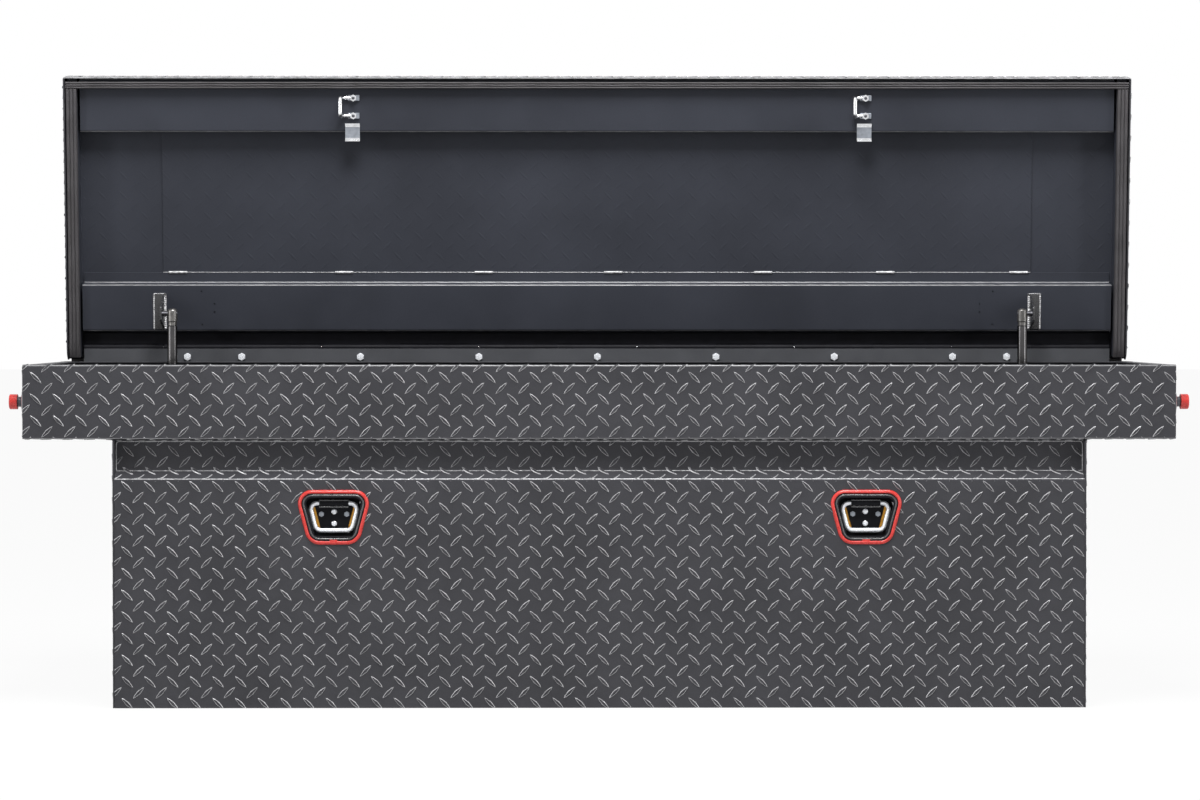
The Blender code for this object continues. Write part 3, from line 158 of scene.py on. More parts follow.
# Strikers, guide plates and strut brackets on the shut lid
STRIKER_X = 0.431
STRIKER_NEAR = -0.3925
STRIKER_FAR = -0.4225
STRIKER_BAR = -0.050
STRIKER_FOOT = 0.016
STRIKER_PAD_X = (0.011, 0.0300)
STRIKER_PAD_HALF = 0.0049
STRIKER_PAD = 0.003
STRIKER_BEND = 0.006
STRIKER_NUT = 0.020
STRIKER_NUT_SIZES = (0.0125, 0.005, 0.001)
STRIKER_STUD = 0.0026
GUIDE_BANDS = (0.0060, 0.0062)
GUIDE_SHIFT = 0.0023
GUIDE_SHARE = 0.945
BRACKET_X = (0.732, 0.749)
BRACKET_Y = (-0.090, -0.034)
BRACKET_WELD = 1.4

# Struts and locks
SOCKET_RADIUS = 0.0085
SOCKET_TOP = 0.009
SOCKET_SHOULDER = 0.004
SOCKET_FOOT = -0.020
FERRULE_RADIUS = SOCKET_RADIUS - 0.0012
FERRULE_TOP = (-0.0145, -0.013)
TUBE_RADIUS = 0.0085
TUBE_BORE = 0.0045
TUBE_ROLL = 0.0012
TUBE_CRIMP = 0.014
BEZEL_RADIUS = 0.0235
BEZEL_RISE = 0.006
BEZEL_EDGE = 0.0012
BARREL_RADIUS = 0.011
BARREL_LENGTH = 0.020
NECK_BORE = 0.0086
NECK_FLOOR = -0.0009
STEM_BORE = 0.0055
BUTTON_RADIUS = 0.012
BUTTON_BACK = 0.0127
BUTTON_FRONT = 0.0255
BUTTON_RIM = 0.002
PLUG_BORE = 0.0057
PLUG_FLOOR = BUTTON_FRONT - 0.006

# Tie-downs, about their middle
TIE_SLOPE = math.radians(15)
TIE_TOP_RADIUS = 0.022
TIE_BOTTOM_RADIUS = 0.024
BAND = 0.0055
BAND_LEAN = 0.3
RELEASE_TAB = Vector((0.006, 0.0012, 0.0022))
PLATE_Y = -0.2359
PLATE_TOP = (0.033, 0.025)
PLATE_FOOT = (0.0196, -0.025)
PLATE_CORNER = 0.006
PLATE_THICKNESS = 0.002
TIE_BOLT_RADIUS = 0.0045
TIE_BOLT_HEAD = 0.003
ROUND_BOLTS = ((0, 0.008), (0, -0.011))
HEX_BOLTS = ((0.020, 0.004), (-0.020, 0.004))
HEX_CHAMFER = 0.0006
RING_TOP = (0.0392, 0.0215)
RING_FOOT = (0.0280, -0.0215)
RING_CORNER = 0.010
SLEEVE_RADIUS = 0.0062
SLEEVE_BORE = 0.004
SLEEVE_HALF = 0.023
SLEEVE_RIDGES = (0.0048, -0.0056)
RIDGE_PROUD = 0.004

# Modelling tolerances
MERGE = 1e-6
FLAT = math.radians(1)
CREASE = math.radians(38)
QUARTER = math.pi / 2
SLANT = 0.1
LEVEL = 0.9
BAR_LEVEL = 0.95
# Narrow faces of long bends whose slope lies in BEND_SLOPE take a lighter finish: partly wear, partly a
# painted highlight
BEND_WIDTH = 0.003
BEND_LENGTH = 0.1
BEND_SLOPE = (0.6, 0.85)

# Finishes: scales of specks and grain, and how far noises are spread
SPECK_SCALE = 700
GRAIN_SCALE = 1100
GRAIN_DEPTH = 0.0004
RAMP_STOPS = (0.32, 0.68)
GLOSS_STOPS = (0.3, 0.7)
SMOOTHEST = 0.02

# Studio
AIM = Vector((0, 0, 0.45))
SIDE_LIGHT = (3.2, -1.6, 1.1)
SIDE_SIZE = (0.5, 2.0)
TOP_LIGHT = (0, -1.4, 3.2)
TOP_SIZE = (1.4, 1.4)
FRONT_LIGHT = (0, -5.0, 2.6)
FRONT_SIZE = (3.0, 3.0)
FLOOR_RADIUS = 40
FLOOR_Z = -0.0005
FLOOR_WHITE = 0.95
FLOOR_ROUGHNESS = 0.9
SENSOR = 36


def length_prop(name, description, default):
    return FloatProperty(name=name, description=description, default=default, unit="LENGTH", precision=5)


def colour_prop(name, description, default):
    limits = dict(subtype="COLOR", min=0, max=1)
    return FloatVectorProperty(name=name, description=description, default=default, **limits)


def power_prop(name, description, default):
    return FloatProperty(name=name, description=description, default=default, unit="POWER", min=0)


def angle_prop(name, description, default):
    return FloatProperty(name=name, description=description, default=math.radians(default), subtype="ANGLE")


class TreadSizes(bpy.types.PropertyGroup):
    """Sizes of the raised bars on the tread plate."""

    bar_length: length_prop("Bar length", "Tip to tip", 0.0272)
    bar_width: length_prop("Bar width", "Across the middle", 0.0070)
    bar_height: length_prop("Bar height", "Above the sheet", 0.0012)
    bar_slope: length_prop("Bar slope", "Width of the sloped edge", 0.0016)
    bar_root: length_prop("Bar root", "Sunk into the sheet", 0.0004)
    column_pitch: length_prop("Column pitch", "Between bars along a row", 0.0357)
    row_pitch: length_prop("Row pitch", "Between like rows", 0.03419)
    print_height: length_prop("Print height", "Of the bars that show through inside the lid", 0.00022)


class TrimSizes(bpy.types.PropertyGroup):
    """Sizes of edges, welds and small parts."""

    edge_radius: length_prop("Edge radius", "Broken edge of cut sheet", 0.0005)
    part_radius: length_prop("Part radius", "Broken edge of fittings", 0.0006)
    weld_radius: length_prop("Weld radius", "Half width of a weld bead", 0.0023)
    seam_radius: length_prop("Seam radius", "Half width of the seam round the recess", 0.0009)
    weld_length: length_prop("Weld length", "Length of a stitch weld", 0.028)
    hole_radius: length_prop("Hole radius", "Small holes in the lid's rear channel", 0.0014)
    rib_height: length_prop("Seal rib", "Height of the ribs on the seals", 0.0022)
    seal_sway: length_prop("Seal sway", "How far the seals wander sideways", 0.0003)
    striker_wire: length_prop("Striker wire", "Radius of the striker wire", 0.0035)
    ring_wire: length_prop("Ring wire", "Radius of the tie-down rings' wire", 0.0037)
    lip_ridge: length_prop("Lip ridge", "Radius of the ridge on the trays' lips", 0.0016)


class FinishColours(bpy.types.PropertyGroup):
    """Colours of the finishes."""

    tread: colour_prop("Tread", "Powder coat on the tread plate", (0.041, 0.041, 0.046))
    # Tread edge is partly wear and partly a painted highlight on bar slopes, the lid skirt's cut edge and the
    # recess seam
    edge: colour_prop("Tread edge", "Worn slopes of the tread bars", (0.36, 0.36, 0.37))
    # Crease is lighter bend colour: partly wear, partly a painted highlight on the bends
    crease: colour_prop("Crease", "Worn bends of the sheets", (0.19, 0.19, 0.195))
    smooth: colour_prop("Smooth", "Powder coat on plain sheet", (0.030, 0.0325, 0.0415))
    rubber: colour_prop("Rubber", "Ribbed seals", (0.050, 0.047, 0.050))
    zinc: colour_prop("Zinc", "Bright zinc plate", (0.74, 0.75, 0.77))
    steel: colour_prop("Steel", "Dark oiled steel", (0.09, 0.09, 0.10))
    tube: colour_prop("Strut tube", "Dark chrome on the strut tubes", (0.085, 0.083, 0.085))
    fitting: colour_prop("Fitting", "Cast ends of the struts", (0.16, 0.155, 0.15))
    chrome: colour_prop("Chrome", "Lock bezels", (0.46, 0.465, 0.48))
    gold: colour_prop("Yellow zinc", "Tie-down backing plates", (0.85, 0.40, 0.035))
    brass: colour_prop("Brass", "Key plugs", (0.60, 0.48, 0.22))
    red: colour_prop("Red", "Bezels and push buttons", (0.52, 0.030, 0.024))
    # Black is the trays' own colour, and painted shade on the hinge's lid leaf and knuckles and on the lid's
    # rear flange
    black: colour_prop("Black", "Moulded trays and the hinge's shadow side", (0.007, 0.007, 0.009))
    lip: colour_prop("Gloss black", "Ridges of trays and sleeves, brackets", (0.022, 0.022, 0.024))
    ring: colour_prop("Ring", "Tie-down rings and hinge bolts", (0.80, 0.82, 0.86))
    dull: colour_prop("Dull zinc", "Tie-down hex bolts, guide plates, pads", (0.27, 0.29, 0.325))
    strip: colour_prop("Hinge strip", "Painted hinge strip and rail", (0.056, 0.058, 0.064))
    # Weld is the beads' own colour, and partly wear, partly a painted highlight on the ledge bends
    weld: colour_prop("Weld", "Weld beads and worn ledge bends", (0.46, 0.46, 0.47))


class StudioSettings(bpy.types.PropertyGroup):
    """Floor, lights and camera."""

    floor: colour_prop("Floor", "Plain pale floor", (0.74, 0.74, 0.74))
    ambient: FloatProperty(name="Ambient", description="Level of the surrounding light", default=0.14)
    side_power: power_prop("Side lights", "Power of each side softbox", 34)
    top_power: power_prop("Top light", "Power of the softbox overhead", 172)
    front_power: power_prop("Front light", "Power of the front softbox", 6)
    lens: FloatProperty(name="Lens", description="Focal length in millimetres", default=110.6)
    camera_place: FloatVectorProperty(
        name="Camera place",
        description="Where the camera stands",
        default=(-0.055, -6.054, 0.612),
        subtype="XYZ",
    )
    camera_tilt: angle_prop("Camera tilt", "Down", 1.25)
    camera_turn: angle_prop("Camera turn", "To the right", 0.543)


class SaddleBoxSettings(bpy.types.PropertyGroup):
    """All that a user would change."""

    tread: PointerProperty(type=TreadSizes)
    trim: PointerProperty(type=TrimSizes)
    colours: PointerProperty(type=FinishColours)
    studio: PointerProperty(type=StudioSettings)


# Finishes

def fill(tree, node, inputs):
    """Puts plain values or links on a node's inputs."""
    for socket, value in inputs.items():
        if isinstance(value, bpy.types.NodeSocket):
            tree.links.new(value, node.inputs[socket])
        else:
            node.inputs[socket].default_value = value
    return node


def add_node(tree, kind, inputs, **settings):
    node = tree.nodes.new("ShaderNode" + kind)
    for name, value in settings.items():
        setattr(node, name, value)
    return fill(tree, node, inputs)


def add_noise(tree, scale, detail, stretch):
    """A noise on the piece's own coordinates, stretched along an axis where the finish runs that way."""
    place = add_node(tree, "TexCoord", {}).outputs["Object"]
    mapped = add_node(tree, "Mapping", {"Vector": place, "Scale": stretch}).outputs["Vector"]
    return add_node(tree, "TexNoise", {"Vector": mapped, "Scale": scale, "Detail": detail}).outputs["Fac"]


def add_ramp(tree, noise, low, high):
    """A noise spread between two colours."""
    ramp = add_node(tree, "ValToRGB", {"Fac": noise})
    for stop, position, colour in zip(ramp.color_ramp.elements, RAMP_STOPS, (low, high)):
        stop.position = position
        stop.color = (*[min(channel, 1) for channel in colour], 1)
    return ramp.outputs["Color"]


def add_finish(name, colour, roughness, metallic=0, specular=0.5, mottle=0.12, patch=9, speck=0.06,
               rough_spread=0.08, grain=0.12, stretch=(1, 1, 1)):
    """A painted, plated or moulded finish: patches and specks in its colour, uneven gloss, a fine grain."""
    material = bpy.data.materials.new(name)
    material.use_nodes = True
    material.diffuse_color = (*colour, 1)
    tree = material.node_tree
    colour = Vector(colour)
    patches = add_ramp(tree, add_noise(tree, patch, 4, stretch), colour * (1 - mottle), colour * (1 + mottle))
    specks = add_ramp(tree, add_noise(tree, SPECK_SCALE, 1, stretch), [1 - speck] * 3, [1] * 3)
    mixed = add_node(tree, "Mix", {0: 1, 6: patches, 7: specks}, data_type="RGBA", blend_type="MULTIPLY")
    gloss = add_node(tree, "MapRange", {
        "Value": add_noise(tree, patch * 4, 5, stretch),
        "From Min": GLOSS_STOPS[0],
        "From Max": GLOSS_STOPS[1],
        "To Min": max(roughness - rough_spread, SMOOTHEST),
        "To Max": min(roughness + rough_spread, 1),
    })
    height = add_noise(tree, GRAIN_SCALE, 2, stretch)
    bump = add_node(tree, "Bump", {"Strength": grain, "Distance": GRAIN_DEPTH, "Height": height})
    fill(tree, tree.nodes["Principled BSDF"], {
        "Base Color": mixed.outputs[2],
        "Metallic": metallic,
        "Specular IOR Level": specular,
        "Roughness": gloss.outputs["Result"],
        "Normal": bump.outputs["Normal"],
    })
    return material


def make_finishes(colours):
    """One material for each of the record's slots, and a few more for lighter edges and bends (partly wear,
    partly painted highlight), struts and welds.
    """
    brushed = (1, 1, 9)
    looks = {
        "tread": dict(roughness=0.45, specular=0.15, speck=0.16, grain=0.22),
        "edge": dict(roughness=0.30, metallic=0.25, mottle=0.3, patch=60, speck=0.2),
        "crease": dict(roughness=0.36, mottle=0.3, patch=60, speck=0.2),
        "smooth": dict(roughness=0.42, specular=0.12, mottle=0.14, patch=5, speck=0.10),
        "rubber": dict(roughness=0.60, specular=0.3, mottle=0.18, patch=30, speck=0.2, grain=0.3),
        "zinc": dict(roughness=0.22, metallic=1, mottle=0.10, patch=120, speck=0.12, grain=0.06),
        "steel": dict(roughness=0.38, metallic=0.8, mottle=0.25, patch=70, stretch=brushed),
        "tube": dict(roughness=0.14, metallic=1, mottle=0.1, patch=40, rough_spread=0.04, grain=0.03),
        "fitting": dict(roughness=0.34, metallic=0.8, mottle=0.3, patch=90, speck=0.2, grain=0.3),
        "chrome": dict(roughness=0.16, metallic=1, mottle=0.04, patch=90, rough_spread=0.04, grain=0.02),
        "gold": dict(roughness=0.40, metallic=0.3, mottle=0.22, patch=110),
        "brass": dict(roughness=0.28, metallic=1, mottle=0.15, patch=150),
        "red": dict(roughness=0.30, mottle=0.06, patch=40, speck=0.05, grain=0.06),
        "black": dict(roughness=0.50, specular=0.08, mottle=0.2, patch=60, grain=0.18),
        "lip": dict(roughness=0.28, specular=0.9, mottle=0.2, patch=60, grain=0.10),
        "ring": dict(roughness=0.24, metallic=0.45, mottle=0.08, patch=120, speck=0.08, grain=0.04),
        "dull": dict(roughness=0.40, metallic=0.7, mottle=0.15, patch=150),
        "strip": dict(roughness=0.42, specular=0.2, patch=12, speck=0.10),
        "weld": dict(roughness=0.32, metallic=0.3, mottle=0.5, patch=260, grain=0.3),
    }
    return {name: add_finish(f"saddle_{name}", getattr(colours, name), **look) for name, look in looks.items()}


FINISHES = {}


# Pieces

def to_mesh(bm, name):
    mesh = bpy.data.meshes.new(name)
    bm.to_mesh(mesh)
    bm.free()
    return mesh


def add_object(name, data):
    obj = bpy.data.objects.new(name, data)
    bpy.context.scene.collection.objects.link(obj)
    return obj


def add_piece(name, bm, finishes, body, slot, replaces=()):
    """A finished piece at the origin, riding on a body, in place of the solids that it stands for."""
    mesh = to_mesh(bm, name)
    mesh.shade_smooth()
    mesh.set_sharp_from_angle(angle=CREASE)
    for finish in finishes:
        mesh.materials.append(FINISHES[finish])
    obj = add_object(name, mesh)
    obj.modifiers.new("flat faces", "WEIGHTED_NORMAL").keep_sharp = True
    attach(obj, body)
    if replaces:
        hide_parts(*replaces)


def stand_for(node, bm, finishes=None):
    """A piece in place of one solid, on that solid's body."""
    slot = SLOTS[node]
    add_piece(f"{node}_dressed", bm, finishes or [slot], NODES[node]["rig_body"], slot, [node])


def middle_of(node):
    low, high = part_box(node)
    return (low + high) / 2


def cad_copy(node):
    """A solid's mesh with its loose triangles merged into faces."""
    bm = bmesh.new()
    bm.from_mesh(NODES[node].data)
    bmesh.ops.remove_doubles(bm, verts=bm.verts, dist=MERGE)
    bmesh.ops.dissolve_limit(bm, angle_limit=FLAT, verts=bm.verts, edges=bm.edges)
    return bm


def moved(bm, matrix):
    bmesh.ops.transform(bm, matrix=matrix, verts=bm.verts)
    return bm


def open_lid(bm):
    """Turns a piece of the shut lid to the open one."""
    return moved(bm, LID_OPEN)


def outward(bm):
    """Turns all faces outwards."""
    bmesh.ops.recalc_face_normals(bm, faces=bm.faces)
    return bm


def everything(bm):
    return bm.verts[:] + bm.edges[:] + bm.faces[:]


def only_verts(items):
    return [item for item in items if isinstance(item, bmesh.types.BMVert)]


def only_edges(items):
    return [item for item in items if isinstance(item, bmesh.types.BMEdge)]


def cut(bm, place, across, **options):
    """Cuts a mesh in a plane and gives the edges of the cut."""
    plane = dict(plane_co=place, plane_no=across, dist=MERGE)
    return only_edges(bmesh.ops.bisect_plane(bm, geom=everything(bm), **plane, **options)["geom_cut"])


def thicken(bm):
    """Draws all faces out, keeps the old ones as the far side and gives the new verts to move."""
    return only_verts(bmesh.ops.extrude_face_region(bm, geom=bm.faces[:], use_keep_orig=True)["geom"])


def soften(bm, width, segments=2, wanted=None):
    """Rounds the sharp edges, or only the wanted ones."""
    sharp = []
    for edge in bm.edges:
        if edge.is_manifold and edge.calc_face_angle(0) > CREASE and (not wanted or wanted(edge)):
            sharp.append(edge)
    shape = dict(offset_type="OFFSET", profile=0.5, affect="EDGES", clamp_overlap=True, material=-1)
    bmesh.ops.bevel(bm, geom=sharp, offset=width, segments=segments, **shape)
    return bm


def paint_bend_wear_and_highlight(bm):
    """Gives the narrow faces in the middle of long bends whose slope lies within BEND_SLOPE the second,
    lighter finish: partly wear, partly a painted highlight where the bend catches the light.
    """
    for face in bm.faces:
        longest = max(edge.calc_length() for edge in face.edges)
        narrow = longest > BEND_LENGTH and face.calc_area() / longest < BEND_WIDTH
        if narrow and BEND_SLOPE[0] < abs(face.normal.z) < BEND_SLOPE[1]:
            face.material_index = 1
    return bm


def dress_solid(node, width, finish=None):
    """A solid with broken edges in place of the plain one."""
    stand_for(node, soften(cad_copy(node), width), [finish or SLOTS[node]])


def dress_folded(node, width):
    """A folded sheet with broken edges and lighter bends, partly wear and partly a painted highlight, in place
    of the plain one.
    """
    stand_for(node, soften(paint_bend_wear_and_highlight(cad_copy(node)), width), [SLOTS[node], "crease"])


def paint(bm, index):
    for face in bm.faces:
        face.material_index = index
    return bm


def pour(source, target, index=None):
    """Moves one mesh's faces into another, in one of its finishes if an index is given."""
    if index is not None:
        paint(source, index)
    mesh = to_mesh(source, "poured")
    target.from_mesh(mesh)
    bpy.data.meshes.remove(mesh)


def repeat(bm, step, count):
    """Repeats all of a mesh in a row."""
    row = dict(dvec=step, angle=0, steps=count, use_duplicate=True)
    bmesh.ops.spin(bm, geom=everything(bm), cent=(0, 0, 0), axis=(0, 0, 1), **row)
    return bm


def facing(place, direction):
    """A frame at a place whose Z points in a direction."""
    return Matrix.Translation(place) @ Vector(direction).to_track_quat("Z", "Y").to_matrix().to_4x4()


def block(low, high, width, segments=2):
    """A block between two corners with rounded edges."""
    low, high = Vector(low), Vector(high)
    bm = bmesh.new()
    size = Matrix.Diagonal((*(high - low), 1))
    bmesh.ops.create_cube(bm, size=1, matrix=Matrix.Translation((low + high) / 2) @ size)
    return soften(bm, width, segments)


def turned(profile, place, closed=False, steps=48):
    """A profile of (radius, along) points spun about the Z of its place."""
    bm = bmesh.new()
    verts = [bm.verts.new(place @ Vector((radius, 0, along))) for radius, along in profile]
    edges = [bm.edges.new(pair) for pair in zip(verts, verts[1:])]
    if closed:
        edges.append(bm.edges.new((verts[-1], verts[0])))
    spin = dict(cent=place.translation, axis=place.to_3x3() @ Vector((0, 0, 1)), angle=math.tau)
    bmesh.ops.spin(bm, geom=verts + edges, steps=steps, use_merge=True, **spin)
    bmesh.ops.remove_doubles(bm, verts=bm.verts, dist=MERGE)
    return outward(bm)


def arc(centre, radii, steps=6):
    """Profile points on a quarter of an ellipse, from its side to its top."""
    points = []
    for step in range(steps + 1):
        angle = QUARTER * step / steps
        points.append((centre[0] + radii[0] * math.cos(angle), centre[1] + radii[1] * math.sin(angle)))
    return points


def draw_out(bm, loop, step):
    """Extrudes a wire's end loop along a straight."""
    verts = only_verts(bmesh.ops.extrude_edge_only(bm, edges=loop)["geom"])
    bmesh.ops.translate(bm, vec=step, verts=verts)
    return [edge for edge in bm.edges if edge.verts[0] in verts and edge.verts[1] in verts]


def bent_wire(points, radius, bends, sides=16, steps=6, closed=False, depth=None, lean=0):
    """A round wire, or one that is deeper along Y: its end loop is drawn out and spun round the bends."""
    points = [Vector(point) for point in points]
    if closed:
        middle = (points[0] + points[-1]) / 2
        points = [middle, *points, middle]
    here = points[0]
    heading = (points[1] - here).normalized()
    bm = bmesh.new()
    bmesh.ops.create_circle(bm, cap_ends=False, segments=sides, radius=radius, matrix=facing(here, heading))
    if depth:
        bmesh.ops.scale(bm, vec=(1, depth / radius, 1), space=Matrix.Translation(-here), verts=bm.verts)
        inward = heading.cross((0, 1, 0))
        for vert in bm.verts:
            vert.co += inward * lean * max(here.y - vert.co.y, 0)
    loop = bm.edges[:]
    for corner, after, bend in zip(points[1:], points[2:], bends):
        ahead = (after - corner).normalized()
        angle = heading.angle(ahead)
        reach = bend * math.tan(angle / 2)
        axis = heading.cross(ahead).normalized()
        start = corner - heading * reach
        loop = draw_out(bm, loop, start - here)
        centre = start + axis.cross(heading) * bend
        spun = bmesh.ops.spin(bm, geom=loop, cent=centre, axis=axis, angle=angle, steps=steps)
        loop = only_edges(spun["geom_last"])
        here = corner + ahead * reach
        heading = ahead
    draw_out(bm, loop, points[-1] - here)
    bmesh.ops.remove_doubles(bm, verts=bm.verts, dist=MERGE)
    bmesh.ops.holes_fill(bm, edges=[edge for edge in bm.edges if edge.is_boundary], sides=0)
    return outward(bm)


def hex_head(place, across, height, chamfer=HEX_CHAMFER):
    """A hex head or nut with a chamfered front."""
    bm = bmesh.new()
    prism = dict(cap_ends=True, segments=6, radius1=across / 2, radius2=across / 2, depth=height)
    bmesh.ops.create_cone(bm, matrix=Matrix.Translation((0, 0, height / 2)), **prism)
    soften(bm, chamfer, wanted=lambda edge: all(vert.co.z > height / 2 for vert in edge.verts))
    return moved(bm, place)


def round_head(place, radius, height):
    """A domed bolt head."""
    dome = arc((0, height / 3), (radius, height * 2 / 3))
    return turned([(0, 0), (radius, 0), *dome[:-1], (0, height)], place, steps=24)


def weld_bead(start, end, radius):
    """A weld: a row of overlapping puddles."""
    bm = bmesh.new()
    run = Vector(end) - Vector(start)
    count = round(run.length / radius)
    bmesh.ops.create_icosphere(bm, subdivisions=2, radius=radius, matrix=Matrix.Translation(start))
    return repeat(bm, run / count, count)


# Tread plate

def on_fold(corners, axis, turn=Matrix()):
    """Lays a field on a folded sheet: its length along X or Y, its run along the section's corners."""
    corners = [Vector(corner) for corner in corners]
    runs = [after - here for here, after in zip(corners, corners[1:])]
    starts = [sum(run.length for run in runs[:index]) for index in range(len(runs))]

    def section(distance):
        """The place and the outward direction at a distance along the section."""
        for index in range(1, len(runs)):
            ahead = runs[index].normalized()
            heading = runs[index - 1].normalized()
            swing = heading.angle_signed(ahead)
            reach = BEND_RADIUS * math.tan(abs(swing) / 2)
            past = distance - starts[index]
            if reach and abs(past) < reach:
                first = corners[index] - heading * reach
                inward = Vector((-heading.y, heading.x)) * math.copysign(BEND_RADIUS, -swing)
                bend = Matrix.Rotation(-swing * (past + reach) / (2 * reach), 2)
                heading = bend @ heading
                return first + inward - bend @ inward, Vector((heading.y, -heading.x))
        index = max(index for index, start in enumerate(starts) if index == 0 or start <= distance)
        heading = runs[index].normalized()
        return corners[index] + heading * (distance - starts[index]), Vector((heading.y, -heading.x))

    def place(u, v, h):
        across, up = [here + outward * h for here, outward in zip(*section(v))]
        return turn @ Vector((u, across, up) if axis == "X" else (across, u, up))

    return place


def single_bar(sizes, height, lean):
    """A lens-shaped bar with sloped edges; the slopes take the lighter second finish, partly wear and partly a
    painted highlight.
    """
    bar = bmesh.new()
    bmesh.ops.create_circle(bar, cap_ends=True, segments=8, radius=1)
    for vert in bar.verts:
        if abs(vert.co.x) > SLANT and abs(vert.co.y) > SLANT:
            vert.co.y *= BAR_SLIMMING
    bmesh.ops.scale(bar, vec=(sizes.bar_length / 2, sizes.bar_width / 2, 1), verts=bar.verts)
    bmesh.ops.translate(bar, vec=(0, 0, -sizes.bar_root), verts=bar.verts)
    top = thicken(bar)
    inset = 2 * sizes.bar_slope
    flat = (1 - 2 * inset / sizes.bar_length, 1 - inset / sizes.bar_width, 1)
    bmesh.ops.scale(bar, vec=flat, verts=top)
    bmesh.ops.translate(bar, vec=(0, 0, height + sizes.bar_root), verts=top)
    outward(bar)
    # Sloped faces take the lighter edge finish: partly wear, partly a painted highlight
    for face in bar.faces:
        face.material_index = 0 if abs(face.normal.z) > BAR_LEVEL else 1
    bmesh.ops.rotate(bar, matrix=Matrix.Rotation(lean, 3, "Z"), verts=bar.verts)
    return bar


def bar_rows(sizes, height, lean, first, across, along):
    """Rows of bars over a stretch of flat sheet, all leaning one way."""
    rows = single_bar(sizes, height, lean)
    pitches = (sizes.column_pitch, sizes.row_pitch)
    start, counts = [], []
    for (low, high), phase, pitch in zip((across, along), first, pitches):
        lowest = math.ceil((low - sizes.bar_length / 2 - phase) / pitch)
        highest = math.floor((high + sizes.bar_length / 2 - phase) / pitch)
        start.append(phase + lowest * pitch)
        counts.append(highest - lowest)
    bmesh.ops.translate(rows, vec=(*start, 0), verts=rows.verts)
    for count, step in zip(counts, ((pitches[0], 0, 0), (0, pitches[1], 0))):
        if count > 0:
            repeat(rows, step, count)
    return rows


def clear_bars(rows, sizes, first, covered):
    """Takes out the bars whose middles are covered."""
    doomed = []
    for vert in rows.verts:
        column = first[0] + round((vert.co.x - first[0]) / sizes.column_pitch) * sizes.column_pitch
        row = first[1] + round((vert.co.y - first[1]) / sizes.row_pitch) * sizes.row_pitch
        if covered(column, row):
            doomed.append(vert)
    bmesh.ops.delete(rows, geom=doomed, context="VERTS")


def trim_field(bm, across, along):
    """Cuts the bars off at the edges of their stretch of sheet and closes the cut ends."""
    for axis, limits in ((Vector((1, 0, 0)), across), (Vector((0, 1, 0)), along)):
        for outward, limit in zip((-axis, axis), limits):
            edges = cut(bm, axis * limit, outward, clear_outer=True)
            bmesh.ops.holes_fill(bm, edges=edges, sides=0)


def tread_field(across, along, place, first=(0, 0), covered=None, height=None):
    """A stretch of tread bars, drawn flat with its run along Y, then laid on the sheet."""
    sizes = bpy.context.scene.saddle_box.tread
    bm = bmesh.new()
    for lean, shift in ((BAR_LEAN, 0), (-BAR_LEAN, 0.5)):
        phase = (first[0] + shift * sizes.column_pitch, first[1] + shift * sizes.row_pitch)
        rows = bar_rows(sizes, height or sizes.bar_height, lean, phase, across, along)
        if covered:
            clear_bars(rows, sizes, phase, covered)
        pour(rows, bm)
    trim_field(bm, across, along)
    for vert in bm.verts:
        vert.co = place(*vert.co)
    bm.normal_update()
    return outward(bm)


def add_bars(name, fields, body):
    """Several stretches of bars as one piece."""
    whole = bmesh.new()
    for field in fields:
        pour(field, whole)
    add_piece(name, whole, ["tread", "edge"], body, "tread")


# Box

def add_front_sheet(trim):
    """The front sheet with a lighter rail foot and lighter ledge bends, partly wear and partly a painted
    highlight, and a seam round the back of its recess.
    """
    sheet = paint_bend_wear_and_highlight(cad_copy("front_panel"))
    # Bend faces below the recess's middle, the ledge bends, take the bright weld finish: partly wear, partly a
    # painted highlight
    for face in sheet.faces:
        if face.material_index == 1 and face.calc_center_median().z < RECESS_MIDDLE_Z:
            face.material_index = 2

    def at_rail_foot(place):
        return abs(place.y - FRONT_Y) < RAIL_FOOT_WEAR_AND_HIGHLIGHT and abs(place.z - WING_Z) < RAIL_FOOT_WEAR_AND_HIGHLIGHT

    # The rail foot's bevel faces that look down and forward take the crease finish: partly wear, partly a
    # painted highlight
    soften(sheet, RAIL_FOOT_WEAR_AND_HIGHLIGHT, 3, lambda edge: all(at_rail_foot(vert.co) for vert in edge.verts))
    for face in sheet.faces:
        if at_rail_foot(face.calc_center_median()) and max(face.normal.y, face.normal.z) < -SLANT:
            face.material_index = 1
    soften(sheet, trim.edge_radius)
    (low, high), (x, y) = SEAM_Z, SEAM_PLACE
    points = [(-x, y, low), (-x, y, high), (x, y, high), (x, y, low)]
    # The seam bead takes the light edge finish: partly wear, partly a painted highlight along the recess's
    # back edge
    pour(bent_wire(points, trim.seam_radius, [SEAM_CORNER] * 2, sides=8), sheet, 3)
    stand_for("front_panel", sheet, ["tread", "crease", "weld", "edge"])


